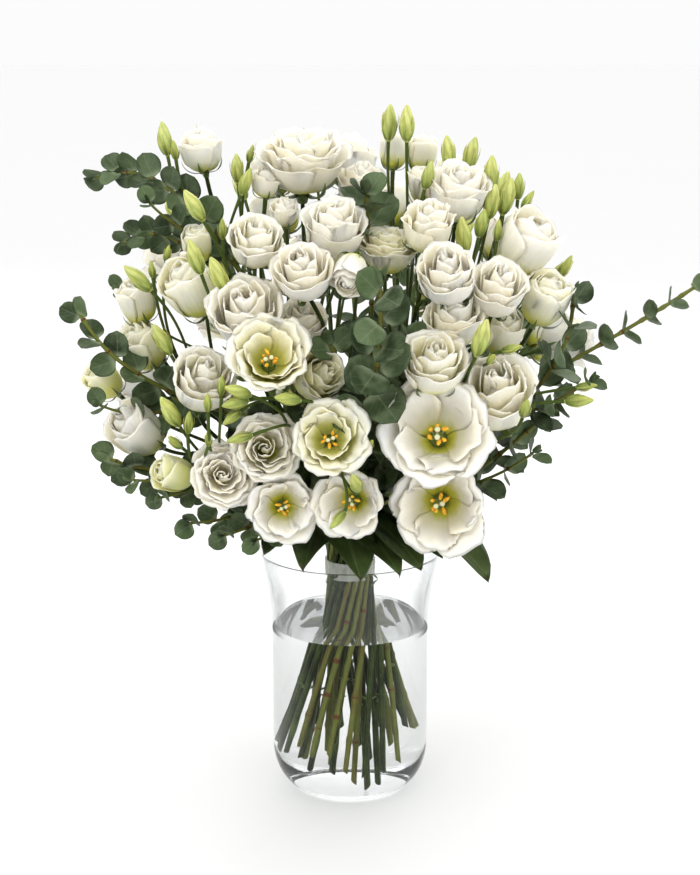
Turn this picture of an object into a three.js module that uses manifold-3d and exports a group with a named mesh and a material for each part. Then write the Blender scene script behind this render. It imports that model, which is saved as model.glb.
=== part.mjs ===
// A floral table centrepiece: a hand-tied bouquet of white lisianthus and eucalyptus standing in a
// glass vase of water. Millimetres, +Z up, origin at the centre of the vase's foot, -Y to the front.
import * as THREE from "three";
import { mergeVertices } from "three/addons/utils/BufferGeometryUtils.js";
import Module from "manifold-3d";

const wasm = await Module();
wasm.setup();

// ---------------------------------------------------------------- driving dimensions
const VASE = {
  height: 206,
  bodyRadius: 65,
  rimRadius: 75,
  footRadius: 39,
  cornerHeight: 38, // the wall curves in to the foot over this height
  flareStart: 138, // the wall opens out to the rim above this height
  flarePower: 1.8, // how much faster it opens towards the rim
  wall: 3.2,
  floor: 7,
  floorInset: 0.4, // how far the floor's edge lies in from the foot's, as a share of the wall
};
const WATER_LEVEL = 142;
const GAP = 0.35; // air left between pieces that touch
const SINK = 1.6; // how far a head is sunk on to the stalk that it is grown on to
const TIE = {
  z: 190,
  height: 15,
  wall: 1.1,
  clearance: 0.5,
  clear: 4, // how far the stems run straight above it
};
// The stems lie in three rings where they are tied, and each ring spirals out to its own circle at the
// foot.
const RINGS = [
  { count: 4, radius: 4.0, footRadius: 14, footHeight: 8 },
  { count: 11, radius: 10.6, footRadius: 28, footHeight: 14 },
  { count: 19, radius: 17.2, footRadius: 42, footHeight: 25 },
];
const FOOT_SPREAD = 34; // the cut ends stand at heights that vary by this much
const FOOT_SKEW = 1.4; // and most of them stand low
const SPIRAL_DEPTH = 150; // from the tie down to where a ring reaches its foot circle
const STEM = { lisianthus: 2.2, eucalyptus: 2.0, upperShare: 0.72 };
const STALK = { flower: 1.35, bud: 1.05 }; // radii of the side stalks
const LEAF_THICKNESS = 1.6;
const LENS_ROOM = 3; // a lens grows this many times the room in thickness, for its edge is thin

// How a head's height and its turned outline follow from its width. An outline is [radius / width,
// z / height] from the stalk to the rim, and a hollow is the height of the cup's bottom.
const HEAD = {
  open: {
    height: 0.6,
    hollow: 0.42,
    outline: [[0, 0], [0.07, 0], [0.3, 0.3], [0.5, 0.97], [0.44, 1]],
  },
  half: {
    height: 0.92,
    hollow: 0.72,
    outline: [[0, 0], [0.08, 0], [0.4, 0.22], [0.5, 0.66], [0.42, 1]],
  },
  cup: {
    height: 1.15,
    hollow: 1,
    outline: [[0, 0], [0.08, 0], [0.42, 0.24], [0.48, 0.58]],
  },
  bud: {
    height: 2.5,
    hollow: 1,
    outline: [[0, 0], [0.5, 0.34], [0.34, 0.68]],
  },
};
const SIDES = { head: 6, bud: 4, stem: 5, twig: 4, stalk: 4, leaf: 5, vase: 24, tie: 20 };
// Stretches that a stem, a stalk, and the vase's rounded corner and its flare are divided into.
const STEPS = { stem: 7, stalk: 3, corner: 3, flare: 3 };

// Lisianthus: one row of heads for each stem. A head is [form, x, y, z of its middle, width (length for a
// bud), the way it faces]. A stem ends in its first head, and the others branch off it on stalks.
const LISIANTHUS = {
  top_left: [
    ["half", -115, -22, 533, 34, [-0.15, -0.15, 1]],
    ["half", -63, -62, 512, 24, [0.1, -0.2, 1]],
    ["half", -50, -81, 491, 22, [0.1, -0.25, 0.95]],
    ["bud", -143, -27, 543, 26, [-0.15, 0, 1]],
    ["bud", -134, -42, 535, 15, [-0.1, -0.1, 1]],
    ["bud", -86, -50, 522, 22, [-0.05, -0.1, 1]],
    ["bud", -78, -74, 514, 21, [0.35, -0.1, 0.9]],
    ["bud", -76, -38, 532, 14, [0.25, 0, 1]],
  ],
  upper_left: [
    ["cup", -118, -103, 438, 43, [-0.45, -0.5, 0.75]],
    ["half", -69, -125, 474, 39, [0.05, -0.6, 0.8]],
    ["bud", -115, -103, 499, 26, [-0.5, -0.1, 0.85]],
    ["bud", -112, -134, 465, 26, [-0.3, -0.1, 0.95]],
    ["bud", -95, -142, 453, 28, [-0.35, -0.2, 0.9]],
    ["bud", -95, -90, 480, 16, [0, -0.1, 1]],
  ],
  left: [
    ["cup", -157, -84, 390, 33, [-0.4, -0.4, 0.8]],
    ["cup", -162, -78, 424, 30, [-0.3, -0.2, 0.95]],
    ["cup", -117, -58, 464, 25, [-0.1, -0.3, 0.95]],
    ["bud", -157, -110, 446, 26, [-0.7, -0.1, 0.7]],
    ["bud", -139, -120, 402, 26, [-0.45, -0.2, 0.9]],
    ["bud", -137, -84, 461, 13, [0.2, 0, 1]],
    ["bud", -149, -84, 449, 13, [-0.1, 0, 1]],
  ],
  mid_left: [
    ["half", -108, -141, 374, 46, [0.2, -0.65, 0.75]],
    ["cup", -162, -97, 328, 40, [-0.55, -0.55, 0.6]],
    ["cup", -190, -72, 362, 28, [-0.5, -0.3, 0.6]],
    ["bud", -91, -179, 379, 15, [0.05, -0.1, 1]],
    ["bud", -101, -180, 367, 14, [0, -0.1, 1]],
  ],
  low_left: [
    ["half", -93, -157, 307, 42, [0.15, -0.95, 0.3]],
    ["bud", -132, -141, 352, 27, [-0.45, -0.3, 0.85]],
    ["bud", -117, -156, 347, 18, [0.1, -0.3, 0.95]],
    ["bud", -128, -150, 331, 17, [-0.4, -0.5, 0.5]],
    ["cup", -131, -135, 304, 28, [-0.8, -0.5, 0.35]],
    ["bud", -102, -168, 338, 13, [0, -0.3, 0.9]],
  ],
  low_mid_left: [
    ["half", -61, -160, 329, 46, [0.1, -0.93, 0.35]],
    ["open", -49, -152, 282, 48, [0.1, -0.97, 0.15]],
    ["bud", -79, -190, 377, 21, [-0.75, -0.4, 0.35]],
    ["bud", -81, -188, 368, 20, [-0.8, -0.4, -0.1]],
    ["bud", -84, -187, 357, 17, [-0.5, -0.5, -0.3]],
    ["bud", -78, -194, 344, 19, [-0.9, -0.35, -0.15]],
  ],
  low_middle: [
    ["open", -14, -176, 339, 52, [0.02, -0.95, 0.3]],
    ["open", 1, -158, 288, 50, [-0.2, -0.95, 0.15]],
    ["bud", -44, -192, 372, 20, [-0.85, -0.4, 0.2]],
    ["bud", 14, -184, 337, 13, [0.3, -0.6, 0.6]],
    ["bud", 4, -192, 311, 20, [-0.2, -0.6, 0.75]],
    ["bud", -9, -190, 283, 17, [-0.6, -0.5, -0.6]],
  ],
  middle_left: [
    ["open", -58, -171, 396, 56, [0.05, -0.85, 0.5]],
    ["half", -76, -143, 424, 52, [-0.05, -0.7, 0.7]],
    ["half", -24, -138, 377, 38, [0.5, -0.7, 0.45]],
  ],
  upper_middle_left: [
    ["half", -34, -150, 455, 42, [-0.1, -0.6, 0.8]],
    ["cup", 0, -150, 455, 28, [-0.2, -0.8, -0.45]],
    ["half", -36, -112, 414, 36, [0.05, -0.5, 0.85]],
  ],
  top_middle: [
    ["open", -36, -49, 524, 66, [0.02, -0.3, 0.95]],
    ["half", -11, -110, 482, 44, [0.1, -0.5, 0.85]],
    ["half", 8, -42, 506, 38, [0.1, -0.2, 0.98]],
  ],
  top_right_middle: [
    ["half", 57, -121, 484, 38, [0.05, -0.4, 0.9]],
    ["open", 27, -94, 462, 46, [0.05, -0.25, 0.95]],
    ["half", 69, -150, 453, 44, [-0.1, -0.65, 0.75]],
    ["bud", 30, -43, 556, 27, [0.05, 0, 1]],
    ["bud", 43, -54, 556, 27, [0, 0, 1]],
    ["cup", 34, -22, 533, 24, [0.05, 0, 1]],
    ["cup", 56, -20, 531, 24, [0.1, 0, 1]],
  ],
  top_right: [
    ["half", 81, -81, 506, 45, [0.05, -0.35, 0.93]],
    ["cup", 57, -52, 510, 27, [-0.1, -0.1, 1]],
    ["bud", 75, -46, 534, 25, [-0.1, 0, 1]],
    ["bud", 92, -52, 533, 26, [0.25, 0, 0.97]],
    ["bud", 106, -70, 520, 26, [0.05, 0, 1]],
    ["bud", 58, -90, 520, 21, [0.25, 0, 0.95]],
    ["bud", 83, -112, 478, 27, [-0.1, -0.1, 1]],
    ["bud", 97, -104, 486, 21, [0.2, 0, 1]],
  ],
  upper_right: [
    ["cup", 131, -95, 470, 45, [0.4, -0.4, 0.82]],
    ["half", 107, -135, 441, 41, [0.1, -0.6, 0.8]],
    ["bud", 128, -58, 509, 20, [0.05, 0, 1]],
    ["bud", 118, -74, 503, 28, [0.25, 0, 1]],
    ["bud", 106, -84, 500, 26, [0.2, 0, 1]],
    ["bud", 134, -72, 500, 16, [0.5, 0, 0.8]],
    ["bud", 118, -52, 496, 18, [0.1, 0, 1]],
    ["bud", 109, -106, 481, 16, [0.1, 0, 1]],
  ],
  right: [
    ["cup", 145, -106, 430, 38, [0.25, -0.5, 0.8]],
    ["half", 75, -138, 418, 42, [0, -0.5, 0.85]],
    ["cup", 114, -100, 405, 32, [0.2, -0.4, 0.8]],
    ["bud", 162, -86, 452, 18, [0.5, 0, 0.85]],
    ["bud", 93, -176, 413, 28, [0.25, -0.2, 0.95]],
    ["bud", 116, -160, 402, 16, [0.8, -0.4, 0.3]],
    ["bud", 100, -178, 398, 14, [0.2, -0.7, 0.5]],
  ],
  middle_right: [
    ["half", 60, -170, 393, 46, [0, -0.6, 0.8]],
    ["half", 106, -150, 366, 56, [-0.15, -0.65, 0.72]],
    ["bud", 124, -186, 364, 19, [0.1, -0.6, 0.75]],
    ["bud", 168, -141, 360, 21, [0.95, -0.3, 0.1]],
    ["bud", 174, -133, 369, 16, [0.95, -0.2, 0.15]],
  ],
  low_right: [
    ["open", 63, -168, 341, 72, [-0.08, -0.93, 0.38]],
    ["open", 66, -150, 284, 66, [-0.12, -0.97, 0.1]],
  ],
  back_left: [
    ["open", -103, 135, 378, 60, [-0.5, 0.75, 0.45]],
    ["half", -148, 62, 436, 46, [-0.7, 0.35, 0.65]],
    ["half", -176, 18, 340, 42, [-0.9, 0.1, 0.4]],
    ["cup", -62, 40, 514, 36, [-0.25, 0.2, 0.95]],
    ["bud", -150, 96, 476, 27, [-0.4, 0.3, 0.9]],
    ["bud", -182, 48, 398, 24, [-0.8, 0.2, 0.6]],
    ["bud", -92, 84, 498, 26, [-0.3, 0.3, 0.9]],
  ],
  back_middle: [
    ["open", -22, 158, 422, 62, [-0.1, 0.75, 0.65]],
    ["half", -64, 108, 472, 46, [-0.35, 0.5, 0.8]],
    ["half", -60, 168, 322, 46, [-0.3, 0.9, 0.3]],
    ["half", 0, 36, 520, 44, [0, 0.2, 0.98]],
    ["bud", -30, 106, 520, 28, [-0.1, 0.3, 0.95]],
    ["bud", 12, 124, 500, 24, [0.1, 0.3, 0.95]],
  ],
  back_right: [
    ["open", 104, 138, 318, 62, [0.5, 0.8, 0.3]],
    ["half", 132, 88, 448, 46, [0.55, 0.5, 0.65]],
    ["half", 168, 62, 372, 46, [0.85, 0.35, 0.4]],
    ["cup", 84, 20, 506, 38, [0.35, 0.15, 0.95]],
    ["bud", 124, 42, 500, 27, [0.4, 0.2, 0.9]],
    ["bud", 172, 22, 434, 24, [0.75, 0.1, 0.65]],
    ["bud", 160, 112, 410, 26, [0.6, 0.4, 0.7]],
  ],
  back_upper: [
    ["half", 78, 146, 398, 50, [0.35, 0.8, 0.5]],
    ["half", 44, 112, 478, 46, [0.2, 0.5, 0.85]],
    ["open", 26, 176, 338, 58, [0.1, 0.95, 0.3]],
    ["half", 172, -14, 382, 42, [0.95, 0, 0.35]],
    ["bud", 74, 128, 494, 26, [0.3, 0.4, 0.9]],
    ["bud", 104, 156, 456, 24, [0.4, 0.6, 0.7]],
  ],
};

// Eucalyptus: the point a twig bows towards, its tip, the share of it that is bare, its leaf length, how
// many pairs of leaves, and how far the blades are turned along the twig (0 across it, 1 along it).
const EUCALYPTUS = {
  upper_left: { bow: [-60, -110, 545], tip: [-198, -16, 512], bare: 0.62, leaf: 23, pairs: 7, turn: 0.8 },
  left_upper: { bow: [-70, -60, 500], tip: [-178, -11, 460], bare: 0.62, leaf: 17, pairs: 7, turn: 0.8 },
  left: { bow: [-150, -150, 330], tip: [-200, -114, 421], bare: 0.45, leaf: 23, pairs: 7, turn: 0.6 },
  low_left: { bow: [-80, -150, 262], tip: [-182, -108, 308], bare: 0.3, leaf: 24, pairs: 7, turn: 0.7 },
  middle: { bow: [24, -190, 350], tip: [21, -206, 452], bare: 0.36, leaf: 34, pairs: 7, turn: 0 },
  right: { bow: [165, -130, 330], tip: [166, -103, 430], bare: 0.5, leaf: 24, pairs: 7, turn: 0.35 },
  far_right: { bow: [120, -100, 340], tip: [300, -4, 441], bare: 0.42, leaf: 24, pairs: 10, turn: 0 },
  low_right: { bow: [90, -115, 285], tip: [158, -97, 349], bare: 0.35, leaf: 22, pairs: 7, turn: 0.3 },
  top: { bow: [28, -90, 440], tip: [12, -90, 506], bare: 0.86, leaf: 26, pairs: 2, turn: 0.2 },
  inner_left: { bow: [-12, -140, 320], tip: [-14, -136, 400], bare: 0.35, leaf: 30, pairs: 6, turn: 0.1 },
  inner_right: { bow: [40, -140, 320], tip: [42, -136, 402], bare: 0.35, leaf: 30, pairs: 6, turn: 0.1 },
  back_low_left: { bow: [-110, 90, 280], tip: [-186, 96, 352], bare: 0.3, leaf: 25, pairs: 7, turn: 0.5 },
  back_low_right: { bow: [60, 120, 285], tip: [152, 158, 372], bare: 0.3, leaf: 25, pairs: 7, turn: 0.5 },
  back_top: { bow: [0, 150, 420], tip: [-6, 178, 500], bare: 0.5, leaf: 24, pairs: 7, turn: 0.4 },
};

// The broad lisianthus leaves of the collar: the stem each grows on, how far up it, the way the blade
// points, its length and width, and how far its tip droops.
const COLLAR_LEAVES = [
  ["low_mid_left", 0.12, [-0.35, -0.9, 0.15], 84, 34, 26],
  ["low_middle", 0.14, [0.5, -0.85, 0.15], 86, 30, 26],
  ["low_right", 0.22, [0.75, -0.65, 0.1], 104, 34, 34],
  ["middle_right", 0.12, [0.6, -0.75, 0.35], 66, 26, 16],
  ["low_left", 0.12, [-0.85, -0.4, 0.25], 66, 28, 14],
  ["back_left", 0.12, [-0.7, 0.7, 0.25], 78, 32, 18],
  ["back_middle", 0.1, [-0.1, 0.95, 0.2], 80, 32, 22],
  ["back_right", 0.12, [0.75, 0.6, 0.25], 78, 32, 18],
  ["back_upper", 0.1, [0.4, 0.9, 0.2], 74, 30, 18],
  ["right", 0.12, [0.95, -0.1, 0.3], 68, 28, 16],
];

// The leaves of a twig: where its last pair stands, how long that is beside the first, how much their
// lengths and directions vary, how far they point out and on, and how wide they are for their length.
const TWIG_LEAF = {
  last: 0.985,
  tipShare: 0.62,
  shortest: 0.9,
  longest: 1.08,
  firstTurn: 0.25,
  stray: 0.16,
  out: 0.86,
  on: 0.5,
  width: 0.92,
  droop: 1.5,
};

const PIECES_OF_THEIR_OWN = 23; // the largest flowers are separate, and the rest are grown on their stem

// ---------------------------------------------------------------- small helpers
const vec = (p) => new THREE.Vector3(...p);
const mix = (a, b, t) => a + (b - a) * t;
const VARIED = { step: 7919, start: 1049, count: 997 }; // primes, so that near numbers give far values
const vary = (i) => ((i * VARIED.step + VARIED.start) % VARIED.count) / VARIED.count; // from 0 to 1
const MERGE = 1e-3; // corners nearer than this are one corner

// A whole stem: its straight foot as the first of its steps, and then the curve that it follows.
class StemCurve extends THREE.Curve {
  constructor(foot, high) {
    super();
    this.straight = new THREE.LineCurve3(foot, high.v0);
    this.high = high;
    this.share = 1 / STEPS.stem;
  }
  getPoint(t) {
    if (t < this.share) return this.straight.getPoint(t / this.share);
    return this.high.getPoint((t - this.share) / (1 - this.share));
  }
  getUtoTmapping(u) {
    return u;
  }
}

// A closed three.js geometry as a manifold solid.
function solid(geometry) {
  const bare = geometry.index ? geometry.toNonIndexed() : geometry.clone();
  bare.deleteAttribute("normal");
  bare.deleteAttribute("uv");
  const merged = mergeVertices(bare, MERGE);
  return new wasm.Manifold(
    new wasm.Mesh({
      numProp: 3,
      vertProperties: merged.attributes.position.array,
      triVerts: new Uint32Array(merged.index.array),
    }),
  );
}

// A solid's mesh as a three.js geometry.
function geometryOf(body) {
  const mesh = body.getMesh();
  return new THREE.BufferGeometry()
    .setAttribute("position", new THREE.BufferAttribute(mesh.vertProperties, mesh.numProp))
    .setIndex(new THREE.BufferAttribute(mesh.triVerts, 1));
}

// The outline [radius, z] turned about +Z.
function turned(outline, segments) {
  const points = outline.map(([r, z]) => new THREE.Vector2(r, z));
  return new THREE.LatheGeometry(points, segments).rotateX(Math.PI / 2);
}

// A closed tube along a curve, from one radius at its start to another at its end.
function tube(curve, [startRadius, endRadius], sides, steps) {
  const section = new THREE.Shape();
  for (let i = 0; i < sides; i++) {
    const a = (i / sides) * 2 * Math.PI;
    if (i) section.lineTo(Math.cos(a), Math.sin(a));
    else section.moveTo(1, 0);
  }
  const route = { steps, extrudePath: curve, bevelEnabled: false };
  const geometry = new THREE.ExtrudeGeometry(section, route);
  const rings = curve.getSpacedPoints(steps);
  const at = geometry.attributes.position;
  const v = new THREE.Vector3();
  for (let i = 0; i < at.count; i++) {
    v.fromBufferAttribute(at, i);
    const ring = rings.reduce((a, p, k) => (p.distanceTo(v) < rings[a].distanceTo(v) ? k : a), 0);
    const radius = mix(startRadius, endRadius, ring / steps);
    v.sub(rings[ring]).multiplyScalar(radius).add(rings[ring]);
    at.setXYZ(i, v.x, v.y, v.z);
  }
  return geometry;
}

function touches(a, b) {
  const p = a.boundingBox();
  const q = b.boundingBox();
  return [0, 1, 2].every((k) => p.min[k] <= q.max[k] && q.min[k] <= p.max[k]);
}

// A body with the room that its neighbours need cut out of it.
function trimmed(body, cutters) {
  const near = cutters.filter((cutter) => touches(body, cutter));
  return near.reduce((rest, cutter) => rest.subtract(cutter), body);
}

const joined = (bodies) => bodies.reduce((a, b) => a.add(b));
const largest = (body) => body.decompose().reduce((a, b) => (b.volume() > a.volume() ? b : a));
// A joined body without what hangs on it only by a point or an edge.
const settled = (body) => largest(solid(geometryOf(largest(body))));

// ---------------------------------------------------------------- heads and leaves
// A head's place: where it sits on its stalk, its axis, and its real width and height.
function headPlace([form, x, y, z, size, face]) {
  const shape = HEAD[form];
  const width = form === "bud" ? size / shape.height : size;
  const height = width * shape.height;
  const axis = vec(face).normalize();
  const middle = vec([x, y, z]);
  return { form, width, height, axis, middle, seat: middle.clone().addScaledVector(axis, -height / 2) };
}

// A head as a turned solid on its seat. With room, it is the filled shape that its neighbours are cut
// back from.
function headSolid(head, seat, room = 0) {
  const { outline, hollow } = HEAD[head.form];
  const whole = [...outline, [0, room ? 1 : hollow]];
  const wide = 2 * room + head.width;
  const tall = 2 * room + head.height;
  const sides = head.form === "bud" ? SIDES.bud : SIDES.head;
  const geometry = turned(whole.map(([r, h]) => [r * wide, h * tall - room]), sides);
  const turn = new THREE.Quaternion().setFromUnitVectors(new THREE.Vector3(0, 0, 1), head.axis);
  return solid(geometry.applyMatrix4(new THREE.Matrix4().compose(seat, turn, new THREE.Vector3(1, 1, 1))));
}

// A leaf blade from its base along an axis, thickest in the middle, its tip drooping against its normal.
function leafSolid({ base, axis, normal, length, width, droop }, room = 0) {
  const geometry = new THREE.SphereGeometry(0.5, SIDES.leaf, 2);
  const thickness = LEAF_THICKNESS + LENS_ROOM * room;
  geometry.scale(length + 2 * room, thickness, width + 2 * room);
  geometry.translate(length / 2, 0, 0);
  const at = geometry.attributes.position;
  for (let i = 0; i < at.count; i++) at.setY(i, at.getY(i) - droop * (at.getX(i) / length) ** 2);
  const side = new THREE.Vector3().crossVectors(axis, normal);
  const frame = new THREE.Matrix4().makeBasis(axis, normal, side).setPosition(base);
  return solid(geometry.applyMatrix4(frame));
}

// ---------------------------------------------------------------- arranging the stems
const lean = (stem) => Math.hypot(stem.goal.x, stem.goal.y) / (stem.goal.z - TIE.z);
const azimuth = (stem) => Math.atan2(stem.goal.y, stem.goal.x);

// Upright stems stand in the inner ring and leaning ones in the outer ring, in order round it, so that
// every stem passes the tie on its own spiral line and none crosses another there.
function seatInTie(stems) {
  const byLean = [...stems].sort((a, b) => lean(a) - lean(b));
  let first = 0;
  for (const ring of RINGS) {
    const seated = byLean.slice(first, first + ring.count).sort((a, b) => azimuth(a) - azimuth(b));
    first += ring.count;
    const slot = (k) => -Math.PI + ((k + 0.5) / ring.count) * 2 * Math.PI;
    const offset = seated.reduce((sum, stem, k) => sum + azimuth(stem) - slot(k), 0) / ring.count;
    const spread = Math.sqrt(ring.footRadius ** 2 - ring.radius ** 2) / SPIRAL_DEPTH;
    seated.forEach((stem, k) => {
      const out = offset + slot(k);
      const waist = vec([ring.radius * Math.sin(out), -ring.radius * Math.cos(out), TIE.z]);
      const rise = vec([spread * Math.cos(out), spread * Math.sin(out), 1]);
      const footHeight = ring.footHeight + FOOT_SPREAD * vary(stem.index) ** FOOT_SKEW;
      stem.waist = waist.clone().addScaledVector(rise, TIE.height / 2 + TIE.clear);
      stem.foot = waist.clone().addScaledVector(rise, footHeight - TIE.z);
      stem.rise = rise.normalize();
    });
  }
}

// The ways a stem or stalk may take round its neighbours: how far it bows to a side, how far up and out it
// bends above the tie, and how far up its stem a stalk forks off. The first that keeps clear is taken.
const BOW_REACHES = [9, 18, 30, 44];
const BOW_SIDES = 8;
const BOW_LIFT = 0.4;
const BENDS = [
  [0.3, 0],
  [0.3, 0.12],
  [0.3, -0.1],
  [0.18, 0.1],
  [0.45, 0],
  [0.2, -0.06],
  [0.4, 0.15],
  [0.12, 0],
  [0.5, -0.1],
];
const FORKS = [0.5, 0.62, 0.4, 0.72, 0.32, 0.8];
const CLEAR = 1.4; // air between two stems
const HEAD_CLEAR = 0.45; // how near a stem may pass a head's middle, as a share of its width
const SPACING = { tried: 4, taken: 2.5 }; // between the points that a way is measured at
const END_REACH = 0.3; // how early a stem turns to its first head's axis
const STALK_REACH = { start: 0.4, end: 0.35 }; // how far a stalk runs with its stem, and with its head

const BOWS = [[0, 0, 0]];
for (const reach of BOW_REACHES)
  for (let k = 0; k < BOW_SIDES; k++) {
    const angle = (k / BOW_SIDES) * 2 * Math.PI;
    BOWS.push([reach * Math.cos(angle), reach * Math.sin(angle), (k % 2) * reach * BOW_LIFT]);
  }

// Points at an even spacing along the straight stretches that a tube divides its curve into.
function pointsAlong(curve, steps, spacing) {
  const rings = curve.getSpacedPoints(steps);
  return rings.slice(1).flatMap((end, k) => {
    const count = Math.max(2, Math.round(end.distanceTo(rings[k]) / spacing));
    return Array.from({ length: count }, (_, i) => rings[k].clone().lerp(end, (i + 1) / count));
  });
}

// How much room a tube leaves to every other stem and head, where this is less than the limit.
function room(points, radius, stem, head, limit) {
  let least = Infinity;
  for (const p of points) {
    for (const t of taken) {
      if (t.stem === stem) continue;
      least = Math.min(least, p.distanceTo(t.at) - t.radius - radius - CLEAR);
    }
    for (const h of heads) {
      if (h === head) continue;
      least = Math.min(least, p.distanceTo(h.middle) - HEAD_CLEAR * h.width);
    }
    if (least <= limit) return least;
  }
  return least;
}

// The first choice that touches nothing, or else the one with the most room.
function pick(choices, steps, radius, stem, head) {
  let best = { free: -Infinity };
  for (const choice of choices) {
    const free = room(pointsAlong(choice, steps, SPACING.tried), radius, stem, head, best.free);
    if (free > best.free) best = { choice, free };
    if (free >= 0) break;
  }
  for (const at of pointsAlong(best.choice, steps, SPACING.taken)) taken.push({ at, radius, stem });
  return best.choice;
}

function stemCurve(stem, bow, [ahead, outward]) {
  const reach = stem.waist.distanceTo(stem.goal);
  const bend = stem.waist.clone().addScaledVector(stem.rise, reach * ahead);
  bend.addScaledVector(vec([stem.waist.x, stem.waist.y, 0]).normalize(), reach * outward);
  const before = stem.bow
    ? stem.bow.clone()
    : stem.goal.clone().addScaledVector(stem.end, -reach * END_REACH);
  before.add(vec(bow));
  const high = new THREE.CubicBezierCurve3(stem.waist, bend, before, stem.goal);
  return new StemCurve(stem.foot, high);
}

// A stalk leaves its stem along it and comes to its head along the head's axis.
function stalkCurve(stem, head, fork, bow) {
  const from = stem.curve.high.getPoint(fork);
  const along = stem.curve.high.getTangent(fork);
  const reach = from.distanceTo(head.seat);
  const bend = from.clone().addScaledVector(along, reach * STALK_REACH.start).add(vec(bow));
  const before = head.seat.clone().addScaledVector(head.axis, -reach * STALK_REACH.end).add(vec(bow));
  return new THREE.CubicBezierCurve3(from, bend, before, head.seat);
}

const lisianthusStems = Object.entries(LISIANTHUS).map(([name, rows]) => {
  const grown = rows.map(headPlace);
  return {
    name,
    kind: "lisianthus",
    heads: grown,
    goal: grown[0].seat,
    end: grown[0].axis,
    leaves: [],
  };
});
const eucalyptusStems = Object.entries(EUCALYPTUS).map(([name, twig]) => ({
  name,
  kind: "eucalyptus",
  twig,
  heads: [],
  goal: vec(twig.tip),
  bow: vec(twig.bow),
  leaves: [],
}));
const stems = [...lisianthusStems, ...eucalyptusStems];
stems.forEach((stem, index) => {
  stem.index = index;
});
seatInTie(stems);

const heads = stems.flatMap((stem) => stem.heads);
const taken = []; // where stems and stalks already run
for (const stem of stems) {
  const choices = BOWS.flatMap((bow) => BENDS.map((bend) => stemCurve(stem, bow, bend)));
  stem.curve = pick(choices, STEPS.stem, STEM[stem.kind], stem, stem.heads[0]);
}
for (const stem of stems)
  for (const head of stem.heads.slice(1)) {
    const choices = BOWS.flatMap((bow) => FORKS.map((fork) => stalkCurve(stem, head, fork, bow)));
    head.stalkRadius = STALK[head.form === "bud" ? "bud" : "flower"];
    head.stalk = pick(choices, STEPS.stalk, head.stalkRadius, stem, head);
  }

const LENGTH_SEED = 31;
const TURN_SEED = 17;
// Opposite pairs of round leaves, each pair a quarter turn from the last and smaller towards the tip.
function twigLeaves(stem) {
  const { bare, leaf, pairs, turn } = stem.twig;
  const { last, tipShare, shortest, longest, firstTurn, stray, out, on } = TWIG_LEAF;
  for (let k = 0; k < pairs; k++) {
    const t = mix(bare, last, k / (pairs - 1));
    const at = stem.curve.high.getPoint(t);
    const along = stem.curve.high.getTangent(t);
    const across = new THREE.Vector3(0, 0, 1).cross(along).normalize();
    const taper = mix(1, tipShare, (t - bare) / (1 - bare));
    const length = leaf * taper * mix(shortest, longest, vary(stem.index * LENGTH_SEED + k));
    for (const half of [0, 1]) {
      const strayed = stray * (vary(stem.index * TURN_SEED + k * 2 + half) - 0.5);
      const about = Math.PI * (half + (k % 2) / 2 + firstTurn + strayed);
      const axis = across.clone().applyAxisAngle(along, about);
      axis.multiplyScalar(out).addScaledVector(along, on).normalize();
      const normal = along.clone().addScaledVector(axis, -along.dot(axis)).normalize();
      normal.applyAxisAngle(axis, ((turn * Math.PI) / 2) * (half ? -1 : 1));
      const width = length * TWIG_LEAF.width;
      stem.leaves.push({ base: at, along, axis, normal, length, width, droop: TWIG_LEAF.droop });
    }
  }
}
stems.filter((s) => s.twig).forEach(twigLeaves);
for (const [name, t, face, length, width, droop] of COLLAR_LEAVES) {
  const stem = stems.find((s) => s.kind === "lisianthus" && s.name === name);
  const axis = vec(face).normalize();
  const normal = new THREE.Vector3(0, 0, 1).addScaledVector(axis, -axis.z).normalize();
  const along = stem.curve.high.getTangent(t);
  stem.leaves.push({ base: stem.curve.high.getPoint(t), along, axis, normal, length, width, droop });
}

// ---------------------------------------------------------------- the vase, the water and the tie
// The outline of the vase's outside or inside at a distance in from the outer wall.
function vaseWall(inset, bottom, top) {
  const { bodyRadius, footRadius, cornerHeight, flareStart, rimRadius, height } = VASE;
  const points = [[footRadius - inset * VASE.floorInset, bottom]];
  for (let k = 1; k <= STEPS.corner; k++) {
    const a = (k / STEPS.corner) * (Math.PI / 2);
    const r = footRadius + (bodyRadius - footRadius) * Math.sin(a);
    points.push([r - inset, bottom + (cornerHeight - bottom) * (1 - Math.cos(a))]);
  }
  if (top <= flareStart) return [...points, [bodyRadius - inset, top]];
  points.push([bodyRadius - inset, flareStart]);
  for (let k = 1; k <= STEPS.flare; k++) {
    const share = (k / STEPS.flare) * ((top - flareStart) / (height - flareStart));
    const r = bodyRadius + (rimRadius - bodyRadius) * share ** VASE.flarePower;
    points.push([r - inset, flareStart + share * (height - flareStart)]);
  }
  return points;
}

const outside = vaseWall(0, 0, VASE.height);
const inside = vaseWall(VASE.wall, VASE.floor, VASE.height).reverse();
const vase = turned([[0, 0], ...outside, ...inside, [0, VASE.floor]], SIDES.vase);
const waterEdge = vaseWall(VASE.wall + GAP, VASE.floor + GAP, WATER_LEVEL);
const waterBody = solid(turned([[0, VASE.floor + GAP], ...waterEdge, [0, WATER_LEVEL]], SIDES.vase));

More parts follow.
